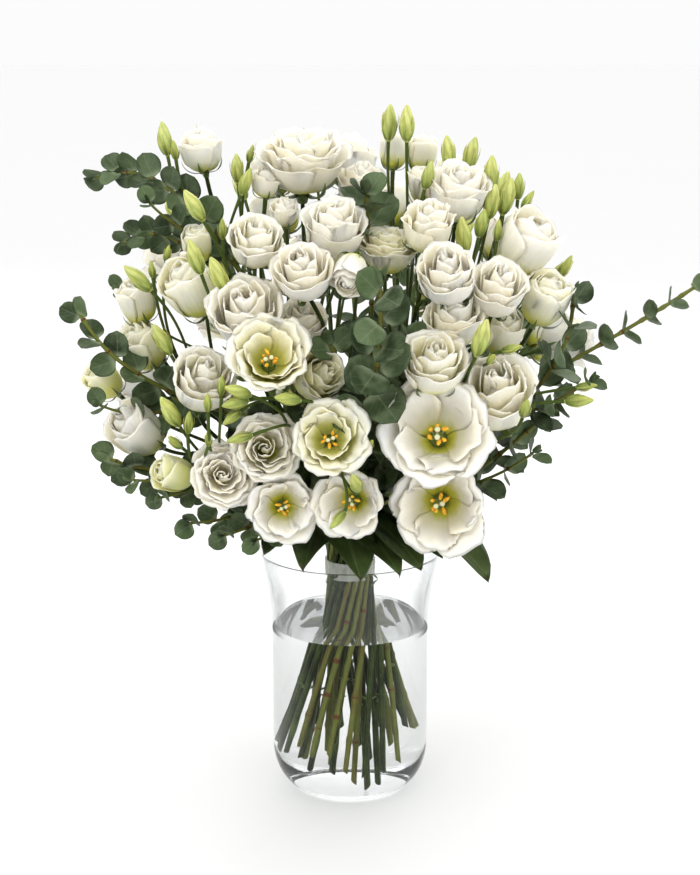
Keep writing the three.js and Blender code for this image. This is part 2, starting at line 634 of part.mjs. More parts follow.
// The outline of a ring between two radii and two heights.
const ringOutline = (inner, outer, low, high) => [
  [inner, low],
  [outer, low],
  [outer, high],
  [inner, high],
];
const tieInner = RINGS.at(-1).radius + STEM.lisianthus + TIE.clearance;
const tieOuter = tieInner + TIE.wall;
const tieLow = TIE.z - TIE.height / 2;
const tieHigh = TIE.z + TIE.height / 2;
const tieOutline = ringOutline(tieInner, tieOuter, tieLow, tieHigh);
const tie = turned([...tieOutline, tieOutline[0]], SIDES.tie);
const tieRoomOutline = ringOutline(0, tieOuter + GAP, tieLow - GAP, tieHigh + GAP);
const tieRoom = solid(turned(tieRoomOutline, SIDES.tie));
const vaseRoom = solid(vase);

// ---------------------------------------------------------------- solids, each cut back from what it touches
function stemTubes(stem, extra) {
  const radii = [STEM[stem.kind] + extra, STEM[stem.kind] * STEM.upperShare + extra];
  const tubes = [tube(stem.curve, radii, stem.twig ? SIDES.twig : SIDES.stem, STEPS.stem)];
  for (const { stalk, stalkRadius } of stem.heads.slice(1))
    tubes.push(tube(stalk, [stalkRadius + extra, stalkRadius + extra], SIDES.stalk, STEPS.stalk));
  return tubes.map(solid);
}

const flowers = heads.filter((head) => head.form !== "bud").sort((a, b) => b.width - a.width);
const owned = new Set(flowers.slice(0, PIECES_OF_THEIR_OWN));
const tubeRoom = new Map(stems.map((stem) => [stem, stemTubes(stem, GAP)]));
const roomOf = (except) => stems.filter((s) => s !== except).flatMap((s) => tubeRoom.get(s));
const allTubes = roomOf(null);
const cutForHeads = [];
for (const head of heads) {
  const stem = stems.find((s) => s.heads.includes(head));
  const seat = head.seat.clone().addScaledVector(head.axis, owned.has(head) ? GAP : -SINK);
  const cutters = owned.has(head) ? allTubes : roomOf(stem);
  head.body = largest(trimmed(headSolid(head, seat), [...cutters, ...cutForHeads]));
  cutForHeads.push(headSolid(head, seat, GAP));
}

// A leaf turns about its stem to where its neighbours leave it room, and is left out where there is none.
const LEAF_TURNS = [0, 0.3, -0.3, 0.6, -0.6, 0.9, -0.9, 1.2, -1.2, 1.5];
const ROOM_ENOUGH = 0.99; // shares of the whole leaf that are left uncut
const ROOM_LEAST = 0.8;
const ROOM_GAIN = 0.02;
function clearLeaf(leaf, cutters) {
  let best = null;
  for (const angle of LEAF_TURNS) {
    const axis = leaf.axis.clone().applyAxisAngle(leaf.along, angle);
    const normal = leaf.normal.clone().applyAxisAngle(leaf.along, angle);
    const turnedLeaf = { ...leaf, axis, normal };
    const whole = leafSolid(turnedLeaf);
    const body = trimmed(whole, cutters);
    const share = body.volume() / whole.volume();
    if (!best || share > best.share + ROOM_GAIN) best = { leaf: turnedLeaf, body, share };
    if (best.share > ROOM_ENOUGH) break;
  }
  return best.share > ROOM_LEAST ? best : null;
}

const leafRoom = [];
for (const stem of stems) {
  const cutters = [...roomOf(stem), ...cutForHeads, vaseRoom, tieRoom, ...leafRoom];
  const grown = stem.heads.filter((h) => !owned.has(h)).map((h) => h.body);
  const leaves = stem.leaves.map((leaf) => clearLeaf(leaf, cutters)).filter((found) => found);
  stem.body = settled(joined([...stemTubes(stem, 0), ...grown, ...leaves.map((found) => found.body)]));
  leafRoom.push(...leaves.map((found) => leafSolid(found.leaf, GAP)));
}
const water = largest(trimmed(waterBody, allTubes));

// ---------------------------------------------------------------- materials and the scene graph
const finish = (color, roughness) => new THREE.MeshStandardMaterial({ color, roughness, metalness: 0 });
function clear(color, roughness) {
  const material = finish(color, roughness);
  material.transparent = true;
  material.opacity = 0.3;
  return material;
}
const glass = clear(0xf4f8f7, 0.03);
const waterClear = clear(0xeef4f2, 0.02);
const tape = finish(0xdfe3d6, 0.35);
const petal = finish(0xf6f3ea, 0.6);
const greenStem = finish(0x5d7a3c, 0.55);
const greyLeaf = finish(0x5d7a68, 0.65);

const bouquet = new THREE.Group();
function add(name, geometry, material, parent = bouquet) {
  const mesh = new THREE.Mesh(geometry, material);
  mesh.name = name;
  parent.add(mesh);
}
add("vase", vase, glass);
add("water", geometryOf(water), waterClear);
add("binding_tape", tie, tape);
for (const stem of stems) {
  const group = new THREE.Group();
  group.name = `${stem.kind}_${stem.name}_group`;
  bouquet.add(group);
  add(`${stem.kind}_${stem.name}`, geometryOf(stem.body), stem.twig ? greyLeaf : greenStem, group);
  stem.heads.forEach((head, k) => {
    if (owned.has(head)) add(`flower_${stem.name}_${k + 1}`, geometryOf(head.body), petal, group);
  });
}

export default bouquet;
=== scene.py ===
"""A floral table centrepiece: a tied bouquet of white lisianthus and eucalyptus in a glass vase of water.

The file is laid out as an add-on. Its operators build the vase, the water, the tape, the lisianthus, their
flowers, the eucalyptus and the stage. Lengths in the tables and functions are in millimetres, and the meshes
are in metres, +Z up, with the front of the bouquet towards -Y.
"""
import functools
import math
import bpy
import mathutils
import numpy as np
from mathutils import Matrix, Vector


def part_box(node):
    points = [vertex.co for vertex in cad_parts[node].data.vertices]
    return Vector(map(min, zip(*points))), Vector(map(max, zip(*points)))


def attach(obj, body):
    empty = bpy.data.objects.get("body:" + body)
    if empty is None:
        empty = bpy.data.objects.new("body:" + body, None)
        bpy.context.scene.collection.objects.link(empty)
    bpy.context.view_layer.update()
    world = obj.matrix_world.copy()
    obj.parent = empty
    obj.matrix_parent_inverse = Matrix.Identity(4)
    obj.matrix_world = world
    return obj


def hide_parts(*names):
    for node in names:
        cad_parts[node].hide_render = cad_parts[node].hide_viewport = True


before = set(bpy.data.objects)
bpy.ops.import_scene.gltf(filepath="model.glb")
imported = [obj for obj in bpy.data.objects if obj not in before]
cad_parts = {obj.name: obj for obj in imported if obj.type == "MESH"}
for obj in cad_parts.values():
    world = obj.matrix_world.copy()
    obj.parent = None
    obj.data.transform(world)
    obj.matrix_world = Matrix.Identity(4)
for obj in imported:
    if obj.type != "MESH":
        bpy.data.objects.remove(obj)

bl_info = {
    "name": "Lisianthus Centrepiece",
    "version": (1, 0, 0),
    "blender": (4, 5, 0),
    "location": "View3D > Sidebar > Bouquet",
    "description": "Builds a bouquet of lisianthus and eucalyptus in a glass vase of water",
    "category": "Add Mesh",
}

MM = 0.001
TURN = 2 * math.pi
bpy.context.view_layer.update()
VASE_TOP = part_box("vase")[1]
WATER_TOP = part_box("water")[1]
TAPE_LOW, TAPE_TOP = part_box("binding_tape")

# ------------------------------------------------------------------ where everything stands
# The stems lie in three rings where they are tied, and each ring spirals out to its own circle at the foot.
RINGS = [
    {"count": 4, "radius": 4.0, "foot_radius": 14.0, "foot_height": 8.0},
    {"count": 11, "radius": 10.6, "foot_radius": 28.0, "foot_height": 14.0},
    {"count": 19, "radius": 17.2, "foot_radius": 42.0, "foot_height": 25.0},
]
TIE_HEIGHT = 190.0
TIE_ABOVE = 11.5  # the stems run straight this far above the middle of the tie
FOOT_SPREAD = 34.0  # how much higher than its ring's foot_height a stem may be cut
FOOT_SKEW = 1.4  # the power that keeps most of them low
SPIRAL_DEPTH = 150.0  # over this depth a ring widens to its foot_radius
STEM_RADIUS = {"lisianthus": 2.2, "eucalyptus": 2.0}
UPPER_SHARE = 0.72  # how thick a stem is at its top, beside its foot
STALK_RADIUS = {"flower": 1.35, "bud": 1.05}
HEAD_HEIGHT = {"open": 0.6, "half": 0.92, "cup": 1.15, "bud": 2.5}  # for a head one wide
STEM_STEPS = 7
STALK_STEPS = 3

# Lisianthus: one row of heads for each stem. A head is (form, x, y, z of its middle, width (length for a
# bud), the way it faces). A stem ends in its first head, and the others branch off it on stalks.
LISIANTHUS = {
    "top_left": [
        ("half", -115, -22, 533, 34, (-0.15, -0.15, 1)), ("half", -63, -62, 512, 24, (0.1, -0.2, 1)),
        ("half", -50, -81, 491, 22, (0.1, -0.25, 0.95)), ("bud", -143, -27, 543, 26, (-0.15, 0, 1)),
        ("bud", -134, -42, 535, 15, (-0.1, -0.1, 1)), ("bud", -86, -50, 522, 22, (-0.05, -0.1, 1)),
        ("bud", -78, -74, 514, 21, (0.35, -0.1, 0.9)), ("bud", -76, -38, 532, 14, (0.25, 0, 1)),
    ],
    "upper_left": [
        ("cup", -118, -103, 438, 43, (-0.45, -0.5, 0.75)), ("half", -69, -125, 474, 39, (0.05, -0.6, 0.8)),
        ("bud", -115, -103, 499, 26, (-0.5, -0.1, 0.85)), ("bud", -112, -134, 465, 26, (-0.3, -0.1, 0.95)),
        ("bud", -95, -142, 453, 28, (-0.35, -0.2, 0.9)), ("bud", -95, -90, 480, 16, (0, -0.1, 1)),
    ],
    "left": [
        ("cup", -157, -84, 390, 33, (-0.4, -0.4, 0.8)), ("cup", -162, -78, 424, 30, (-0.3, -0.2, 0.95)),
        ("cup", -117, -58, 464, 25, (-0.1, -0.3, 0.95)), ("bud", -157, -110, 446, 26, (-0.7, -0.1, 0.7)),
        ("bud", -139, -120, 402, 26, (-0.45, -0.2, 0.9)), ("bud", -137, -84, 461, 13, (0.2, 0, 1)),
        ("bud", -149, -84, 449, 13, (-0.1, 0, 1)),
    ],
    "mid_left": [
        ("half", -108, -141, 374, 46, (0.2, -0.65, 0.75)), ("cup", -162, -97, 328, 40, (-0.55, -0.55, 0.6)),
        ("cup", -190, -72, 362, 28, (-0.5, -0.3, 0.6)), ("bud", -91, -179, 379, 15, (0.05, -0.1, 1)),
        ("bud", -101, -180, 367, 14, (0, -0.1, 1)),
    ],
    "low_left": [
        ("half", -93, -157, 307, 42, (0.15, -0.95, 0.3)), ("bud", -132, -141, 352, 27, (-0.45, -0.3, 0.85)),
        ("bud", -117, -156, 347, 18, (0.1, -0.3, 0.95)), ("bud", -128, -150, 331, 17, (-0.4, -0.5, 0.5)),
        ("cup", -131, -135, 304, 28, (-0.8, -0.5, 0.35)), ("bud", -102, -168, 338, 13, (0, -0.3, 0.9)),
    ],
    "low_mid_left": [
        ("half", -61, -160, 329, 46, (0.1, -0.93, 0.35)), ("open", -49, -152, 282, 48, (0.1, -0.97, 0.15)),
        ("bud", -79, -190, 377, 21, (-0.75, -0.4, 0.35)), ("bud", -81, -188, 368, 20, (-0.8, -0.4, -0.1)),
        ("bud", -84, -187, 357, 17, (-0.5, -0.5, -0.3)), ("bud", -78, -194, 344, 19, (-0.9, -0.35, -0.15)),
    ],
    "low_middle": [
        ("open", -14, -176, 339, 52, (0.02, -0.95, 0.3)), ("open", 1, -158, 288, 50, (-0.2, -0.95, 0.15)),
        ("bud", -44, -192, 372, 20, (-0.85, -0.4, 0.2)), ("bud", 14, -184, 337, 13, (0.3, -0.6, 0.6)),
        ("bud", 4, -192, 311, 20, (-0.2, -0.6, 0.75)), ("bud", -9, -190, 283, 17, (-0.6, -0.5, -0.6)),
    ],
    "middle_left": [
        ("open", -58, -171, 396, 56, (0.05, -0.85, 0.5)), ("half", -76, -143, 424, 52, (-0.05, -0.7, 0.7)),
        ("half", -24, -138, 377, 38, (0.5, -0.7, 0.45)),
    ],
    "upper_middle_left": [
        ("half", -34, -150, 455, 42, (-0.1, -0.6, 0.8)), ("cup", 0, -150, 455, 28, (-0.2, -0.8, -0.45)),
        ("half", -36, -112, 414, 36, (0.05, -0.5, 0.85)),
    ],
    "top_middle": [
        ("open", -36, -49, 524, 66, (0.02, -0.3, 0.95)), ("half", -11, -110, 482, 44, (0.1, -0.5, 0.85)),
        ("half", 8, -42, 506, 38, (0.1, -0.2, 0.98)),
    ],
    "top_right_middle": [
        ("half", 57, -121, 484, 38, (0.05, -0.4, 0.9)), ("open", 27, -94, 462, 46, (0.05, -0.25, 0.95)),
        ("half", 69, -150, 453, 44, (-0.1, -0.65, 0.75)), ("bud", 30, -43, 556, 27, (0.05, 0, 1)),
        ("bud", 43, -54, 556, 27, (0, 0, 1)), ("cup", 34, -22, 533, 24, (0.05, 0, 1)),
        ("cup", 56, -20, 531, 24, (0.1, 0, 1)),
    ],
    "top_right": [
        ("half", 81, -81, 506, 45, (0.05, -0.35, 0.93)), ("cup", 57, -52, 510, 27, (-0.1, -0.1, 1)),
        ("bud", 75, -46, 534, 25, (-0.1, 0, 1)), ("bud", 92, -52, 533, 26, (0.25, 0, 0.97)),
        ("bud", 106, -70, 520, 26, (0.05, 0, 1)), ("bud", 58, -90, 520, 21, (0.25, 0, 0.95)),
        ("bud", 83, -112, 478, 27, (-0.1, -0.1, 1)), ("bud", 97, -104, 486, 21, (0.2, 0, 1)),
    ],
    "upper_right": [
        ("cup", 131, -95, 470, 45, (0.4, -0.4, 0.82)), ("half", 107, -135, 441, 41, (0.1, -0.6, 0.8)),
        ("bud", 128, -58, 509, 20, (0.05, 0, 1)), ("bud", 118, -74, 503, 28, (0.25, 0, 1)),
        ("bud", 106, -84, 500, 26, (0.2, 0, 1)), ("bud", 134, -72, 500, 16, (0.5, 0, 0.8)),
        ("bud", 118, -52, 496, 18, (0.1, 0, 1)), ("bud", 109, -106, 481, 16, (0.1, 0, 1)),
    ],
    "right": [
        ("cup", 145, -106, 430, 38, (0.25, -0.5, 0.8)), ("half", 75, -138, 418, 42, (0, -0.5, 0.85)),
        ("cup", 114, -100, 405, 32, (0.2, -0.4, 0.8)), ("bud", 162, -86, 452, 18, (0.5, 0, 0.85)),
        ("bud", 93, -176, 413, 28, (0.25, -0.2, 0.95)), ("bud", 116, -160, 402, 16, (0.8, -0.4, 0.3)),
        ("bud", 100, -178, 398, 14, (0.2, -0.7, 0.5)),
    ],
    "middle_right": [
        ("half", 60, -170, 393, 46, (0, -0.6, 0.8)), ("half", 106, -150, 366, 56, (-0.15, -0.65, 0.72)),
        ("bud", 124, -186, 364, 19, (0.1, -0.6, 0.75)), ("bud", 168, -141, 360, 21, (0.95, -0.3, 0.1)),
        ("bud", 174, -133, 369, 16, (0.95, -0.2, 0.15)),
    ],
    "low_right": [
        ("open", 63, -168, 341, 72, (-0.08, -0.93, 0.38)), ("open", 66, -150, 284, 66, (-0.12, -0.97, 0.1)),
    ],
    "back_left": [
        ("open", -103, 135, 378, 60, (-0.5, 0.75, 0.45)), ("half", -148, 62, 436, 46, (-0.7, 0.35, 0.65)),
        ("half", -176, 18, 340, 42, (-0.9, 0.1, 0.4)), ("cup", -62, 40, 514, 36, (-0.25, 0.2, 0.95)),
        ("bud", -150, 96, 476, 27, (-0.4, 0.3, 0.9)), ("bud", -182, 48, 398, 24, (-0.8, 0.2, 0.6)),
        ("bud", -92, 84, 498, 26, (-0.3, 0.3, 0.9)),
    ],
    "back_middle": [
        ("open", -22, 158, 422, 62, (-0.1, 0.75, 0.65)), ("half", -64, 108, 472, 46, (-0.35, 0.5, 0.8)),
        ("half", -60, 168, 322, 46, (-0.3, 0.9, 0.3)), ("half", 0, 36, 520, 44, (0, 0.2, 0.98)),
        ("bud", -30, 106, 520, 28, (-0.1, 0.3, 0.95)), ("bud", 12, 124, 500, 24, (0.1, 0.3, 0.95)),
    ],
    "back_right": [
        ("open", 104, 138, 318, 62, (0.5, 0.8, 0.3)), ("half", 132, 88, 448, 46, (0.55, 0.5, 0.65)),
        ("half", 168, 62, 372, 46, (0.85, 0.35, 0.4)), ("cup", 84, 20, 506, 38, (0.35, 0.15, 0.95)),
        ("bud", 124, 42, 500, 27, (0.4, 0.2, 0.9)), ("bud", 172, 22, 434, 24, (0.75, 0.1, 0.65)),
        ("bud", 160, 112, 410, 26, (0.6, 0.4, 0.7)),
    ],
    "back_upper": [
        ("half", 78, 146, 398, 50, (0.35, 0.8, 0.5)), ("half", 44, 112, 478, 46, (0.2, 0.5, 0.85)),
        ("open", 26, 176, 338, 58, (0.1, 0.95, 0.3)), ("half", 172, -14, 382, 42, (0.95, 0, 0.35)),
        ("bud", 74, 128, 494, 26, (0.3, 0.4, 0.9)), ("bud", 104, 156, 456, 24, (0.4, 0.6, 0.7)),
    ],
}

# Eucalyptus: the point a twig bows towards, its tip, the share of it that is bare, its leaf length, how many
# pairs of leaves, and how far the blades are turned along the twig (0 across it, 1 along it).
EUCALYPTUS = {
    "upper_left": ((-60, -110, 545), (-198, -16, 512), 0.62, 29, 6, 0.8),
    "left_upper": ((-70, -60, 500), (-178, -11, 460), 0.62, 25, 6, 0.8),
    "left": ((-150, -150, 330), (-200, -114, 421), 0.45, 28, 6, 0.6),
    "low_left": ((-80, -150, 262), (-182, -108, 308), 0.3, 29, 7, 0.7),
    "middle": ((24, -190, 350), (21, -206, 452), 0.36, 45, 7, 0),
    "right": ((165, -130, 330), (166, -103, 430), 0.5, 33, 6, 0.35),
    "far_right": ((120, -100, 340), (300, -4, 441), 0.42, 24, 10, 0),
    "low_right": ((90, -115, 285), (158, -97, 349), 0.35, 31, 6, 0.3),
    "top": ((28, -90, 440), (12, -90, 506), 0.86, 34, 2, 0.2),
    "inner_left": ((-12, -140, 320), (-14, -136, 400), 0.35, 36, 5, 0.1),
    "inner_right": ((40, -140, 320), (42, -136, 402), 0.35, 36, 5, 0.1),
    "back_low_left": ((-110, 90, 280), (-186, 96, 352), 0.3, 28, 6, 0.5),
    "back_low_right": ((60, 120, 285), (152, 158, 372), 0.3, 28, 6, 0.5),
    "back_top": ((0, 150, 420), (-6, 178, 500), 0.5, 28, 6, 0.4),
}
# The way that some twigs' leaves face, and how far they turn to it from their twig's own way.
LEANING = {
    "middle": ((0, -1, 0.35), 0.9),
    "inner_left": ((-0.1, -1, 0.3), 0.75),
    "inner_right": ((0.15, -1, 0.3), 0.75),
    "low_left": ((-0.4, -0.9, 0.1), 0.7),
    "left": ((-0.4, -0.8, 0.4), 0.45),
    "upper_left": ((-0.3, -0.8, 0.4), 0.35),
    "left_upper": ((-0.4, -0.8, 0.4), 0.4),
    "right": ((0.3, -0.9, 0.3), 0.65),
    "low_right": ((0.3, -0.95, 0.1), 0.5),
    "back_low_left": ((-0.5, 0.8, 0.1), 0.4),
    "back_low_right": ((0.4, 0.9, 0.1), 0.4),
    "back_top": ((0, 0.8, 0.6), 0.4),
}

# Side shoots: the twig each leaves and how far up it, the point it bows towards, its tip, the share of it
# that is bare, its leaf length and how many pairs of leaves. SHOOT_TURN turns their blades along them.
SHOOT_TURN = 0.25
SIDE_SHOOTS = [
    ("low_left", 0.3, (-62, -100, 258), (-118, -152, 270), 0.1, 24, 6),
    ("low_left", 0.45, (-104, -104, 286), (-140, -138, 286), 0.1, 24, 5),
    ("low_left", 0.2, (-34, -90, 254), (-68, -154, 258), 0.2, 26, 5),
    ("low_left", 0.25, (-50, -100, 258), (-92, -156, 262), 0.15, 25, 5),
    ("low_left", 0.62, (-126, -118, 292), (-162, -126, 296), 0.1, 23, 4),
    ("left", 0.6, (-150, -96, 330), (-186, -120, 352), 0.25, 24, 3),
    ("left_upper", 0.6, (-140, -40, 430), (-176, -60, 432), 0.3, 20, 3),
    ("upper_left", 0.62, (-130, -50, 470), (-150, -78, 498), 0.25, 24, 3),
    ("inner_left", 0.4, (-16, -104, 300), (-34, -112, 336), 0.3, 32, 3),
    ("inner_right", 0.35, (30, -104, 290), (27, -124, 314), 0.3, 32, 3),
    ("middle", 0.55, (30, -140, 330), (42, -138, 380), 0.3, 32, 3),
    ("right", 0.6, (140, -110, 340), (176, -128, 372), 0.25, 26, 3),
    ("low_right", 0.5, (110, -110, 290), (136, -130, 318), 0.3, 25, 3),
    ("back_low_left", 0.5, (-80, 110, 270), (-120, 148, 290), 0.3, 26, 4),
    ("back_low_right", 0.4, (60, 110, 270), (88, 152, 282), 0.3, 26, 4),
    ("back_top", 0.4, (40, 110, 380), (64, 152, 424), 0.3, 26, 4),
    ("back_top", 0.3, (-50, 100, 330), (-86, 148, 352), 0.3, 26, 4),
]

# The broad lisianthus leaves of the collar and among the stems: the stem each grows on, how far up it, where
# its tip is, its width, and how high it arches over the line from its base to its tip.
COLLAR_LEAVES = [
    ("low_right", 0.3, (102, -172, 233), 46, 17),
    ("low_middle", 0.3, (53, -162, 238), 42, 12),
    ("low_middle", 0.2, (36, -165, 234), 40, 16),
    ("low_mid_left", 0.3, (8, -162, 228), 50, 16),
    ("low_mid_left", 0.2, (-34, -150, 234), 42, 14),
    ("middle_right", 0.2, (70, -128, 236), 32, 14),
    ("middle_left", 0.2, (-66, -122, 238), 32, 13),
    ("low_left", 0.3, (-96, -104, 254), 30, 12),
    ("mid_left", 0.2, (-108, -54, 256), 30, 12),
    ("upper_middle_left", 0.3, (28, -138, 322), 38, 10),
    ("top_middle", 0.3, (34, -134, 362), 36, 4),
    ("top_right_middle", 0.3, (56, -140, 300), 36, 8),
    ("top_right", 0.3, (10, -132, 296), 36, 8),
    ("top_left", 0.3, (-60, -110, 330), 32, 6),
    ("back_left", 0.2, (-70, 96, 242), 34, 13),
    ("back_middle", 0.2, (-20, 116, 238), 38, 15),
    ("back_right", 0.2, (90, 80, 240), 34, 13),
    ("back_upper", 0.2, (50, 106, 242), 34, 13),
    ("right", 0.3, (116, -60, 262), 30, 12),
    ("upper_right", 0.3, (110, 30, 268), 30, 12),
    ("left", 0.3, (-110, 40, 258), 30, 12),
]


# ------------------------------------------------------------------ small helpers
def unit(v):
    """Each vector of v divided by its own length."""
    v = np.asarray(v, float)
    return v / np.maximum(np.linalg.norm(v, axis=-1, keepdims=True), 1e-12)


def vary(i):
    """A fixed spread of values from 0 to 1: 7919 i plus 1049, less its whole multiples of 997, over 997."""
    return ((i * 7919 + 1049) % 997) / 997


def seeded(*words):
    """A generator of random numbers that is the same in each run: its seed is the sum of the words' bytes,
    each times its place."""
    text = "/".join(str(w) for w in words)
    return np.random.default_rng(sum((k + 1) * b for k, b in enumerate(text.encode())))


def smooth(x, low, high):
    """0 below low and 1 above high, and between them the cubic 3t squared less 2t cubed."""
    t = np.clip((np.asarray(x, float) - low) / (high - low), 0, 1)
    return t * t * (3 - 2 * t)


def bezier(points, t):
    """The Bezier curve of any number of points: each point times its Bernstein polynomial at t, summed."""
    points = np.asarray(points, float)
    n = len(points) - 1
    t = np.asarray(t, float)[..., None]
    return sum(math.comb(n, k) * t**k * (1 - t) ** (n - k) * points[k] for k in range(n + 1))


def spaced(points, steps):
    """The points that divide the Bezier curve of points into steps of equal length, from 201 points on it."""
    t = np.linspace(0, 1, 201)
    at = bezier(points, t)
    length = np.append(0, np.cumsum(np.linalg.norm(np.diff(at, axis=0), axis=1)))
    return bezier(points, np.interp(np.linspace(0, length[-1], steps + 1), length, t))


def tangents(path):
    """The direction of a path at each of its points: the difference of its neighbours, made one long."""
    return unit(np.gradient(np.asarray(path, float), axis=0))


def turned_about(v, axis, angle):
    """v turned about a unit axis by Rodrigues' formula."""
    v = np.asarray(v, float)
    axis = np.asarray(axis, float)
    c, s = math.cos(angle), math.sin(angle)
    return v * c + np.cross(axis, v) * s + axis * (v @ axis)[..., None] * (1 - c)


def basis(axis, spin=0.0):
    """Three unit vectors as rows, the third along axis and the other two across it, turned about it by
    spin."""
    axis = unit(axis)
    aside = unit(np.cross(axis, (0, 1, 0) if abs(axis[1]) < 0.9 else (1, 0, 0)))
    ahead = np.cross(axis, aside)
    c, s = math.cos(spin), math.sin(spin)
    return np.array([aside * c + ahead * s, ahead * c - aside * s, axis])


# ------------------------------------------------------------------ arranging the stems
class Head:
    """A flower head or bud: its form, width, height, axis, middle, seat and stalk."""

    def __init__(self, row, label):
        self.form, x, y, z, size, face = row
        self.label = label
        self.width = size / HEAD_HEIGHT["bud"] if self.form == "bud" else size
        self.height = self.width * HEAD_HEIGHT[self.form]
        self.axis = unit(face)
        self.middle = np.array([x, y, z], float)
        self.seat = self.middle - self.axis * self.height / 2
        self.stalk = None
        self.fork = None
        self.radius = STALK_RADIUS["bud" if self.form == "bud" else "flower"]


class Stem:
    """A stem: its straight foot, the Bezier curve above the tie, and what grows on it."""

    def __init__(self, name, kind, index):
        self.name = name
        self.kind = kind
        self.index = index
        self.heads = []
        self.twig = None
        self.bow = None

    def line(self, t):
        """The stem at t: the straight foot for its first step, and then the curve."""
        t = np.asarray(t, float)
        share = 1 / STEM_STEPS
        low = self.foot + (self.high[0] - self.foot) * (t / share)[..., None]
        up = bezier(self.high, np.clip((t - share) / (1 - share), 0, 1))
        return np.where((t < share)[..., None], low, up)


# What the arranging tries in turn: how far a curve bows aside, in eight ways; how far ahead and outward a
# stem first bends, as shares of its length; and how far up a stem a stalk forks off. CLEAR is the room that
# it leaves between two stems, and HEAD_CLEAR the share of a head's width that it keeps free of others' stems.
BOWS = [(0.0, 0.0, 0.0)] + [
    (reach * math.cos(k * math.pi / 4), reach * math.sin(k * math.pi / 4), (k % 2) * reach * 0.4)
    for reach in (9, 18, 30, 44)
    for k in range(8)
]
BENDS = [
    (0.3, 0), (0.3, 0.12), (0.3, -0.1), (0.18, 0.1), (0.45, 0),
    (0.2, -0.06), (0.4, 0.15), (0.12, 0), (0.5, -0.1),
]
FORKS = [0.5, 0.62, 0.4, 0.72, 0.32, 0.8]
CLEAR = 1.4
HEAD_CLEAR = 0.45


def seat_in_tie(stems):
    """Upright stems stand in the inner ring and leaning ones in the outer ring, in order round it, so that
    every stem passes the tie on its own spiral line. A line starts on its ring, a quarter turn from where it
    leads."""
    def lean(stem):
        return math.hypot(stem.goal[0], stem.goal[1]) / (stem.goal[2] - TIE_HEIGHT)

    def azimuth(stem):
        return math.atan2(stem.goal[1], stem.goal[0])

    by_lean = sorted(stems, key=lean)
    for ring in RINGS:
        seated = sorted(by_lean[: ring["count"]], key=azimuth)
        by_lean = by_lean[ring["count"] :]
        slots = [-math.pi + (k + 0.5) / ring["count"] * TURN for k in range(ring["count"])]
        offset = sum(azimuth(s) - slot for s, slot in zip(seated, slots)) / ring["count"]
        spread = math.sqrt(ring["foot_radius"] ** 2 - ring["radius"] ** 2) / SPIRAL_DEPTH
        for stem, slot in zip(seated, slots):
            out = offset + slot
            waist = np.array([ring["radius"] * math.sin(out), -ring["radius"] * math.cos(out), TIE_HEIGHT])
            rise = np.array([spread * math.cos(out), spread * math.sin(out), 1.0])
            foot_height = ring["foot_height"] + FOOT_SPREAD * vary(stem.index) ** FOOT_SKEW
            stem.waist = waist + rise * TIE_ABOVE
            stem.foot = waist + rise * (foot_height - TIE_HEIGHT)
            stem.rise = unit(rise)


def points_along(rings, spacing):
    """Points at an even spacing along the straight stretches between rings."""
    found = []
    for a, b in zip(rings[:-1], rings[1:]):
        count = max(2, math.floor(np.linalg.norm(b - a) / spacing + 0.5))
        found.append(a + (b - a) * (np.arange(1, count + 1) / count)[:, None])
    return np.concatenate(found)


def gaps(points, others):
    """The distance of each point to each other one, from the sum of squares less twice the product."""
    square = (points**2).sum(1)[:, None] + (others**2).sum(1)[None] - 2 * points @ others.T
    return np.sqrt(np.maximum(square, 0))


class Room:
    """What stems and stalks already take up, and where the heads are."""

    def __init__(self, heads):
        self.heads = heads
        self.taken = []

    def pick(self, choices, rings_of, radius, stem, head):
        """The first choice that touches nothing, or else the one with the most room."""
        others = [t for t in self.taken if t[0] is not stem]
        at = np.concatenate([t[1] for t in others]) if others else None
        wide = np.concatenate([np.full(len(t[1]), t[2]) for t in others]) if others else None
        near = [h for h in self.heads if h is not head]
        middles = np.array([h.middle for h in near])
        keep = np.array([HEAD_CLEAR * h.width for h in near])
        best, most = None, -math.inf
        for choice in choices:
            points = points_along(rings_of(choice), 4)
            free = (gaps(points, middles) - keep).min()
            if free > most and others:
                free = min(free, (gaps(points, at) - wide).min() - radius - CLEAR)
            if free > most:
                best, most = choice, free
            if free >= 0:
                break
        self.taken.append((stem, points_along(rings_of(best), 2.5), radius))
        return best


def stem_high(stem, bow, bend):
    """A stem's curve above the tie: from the waist along its rise, and to its goal along its end or its
    bow."""
    ahead, outward = bend
    reach = np.linalg.norm(stem.waist - stem.goal)
    side = unit([stem.waist[0], stem.waist[1], 0])
    first = stem.waist + stem.rise * reach * ahead + side * reach * outward
    before = stem.bow if stem.bow is not None else stem.goal - stem.heads[0].axis * reach * 0.3
    return np.array([stem.waist, first, before + bow, stem.goal])


def stem_rings(stem, high):
    """The corners of the straight stretches that the arranging measures a stem by."""
    return np.concatenate([stem.foot[None], bezier(high, np.arange(STEM_STEPS) / (STEM_STEPS - 1))])


def stalk_high(stem, head, fork, bow):
    """A stalk leaves its stem along it and comes to its head along the head's axis."""
    at = bezier(stem.high, np.array([fork - 1e-4, fork, fork + 1e-4]))
    start = at[1]
    reach = np.linalg.norm(start - head.seat)
    first = start + unit(at[2] - at[0]) * reach * 0.4 + bow
    return np.array([start, first, head.seat - head.axis * reach * 0.35 + bow, head.seat])


def stalk_rings(choice):
    """The corners of the straight stretches that the arranging measures a stalk by."""
    return spaced(choice[1], STALK_STEPS)


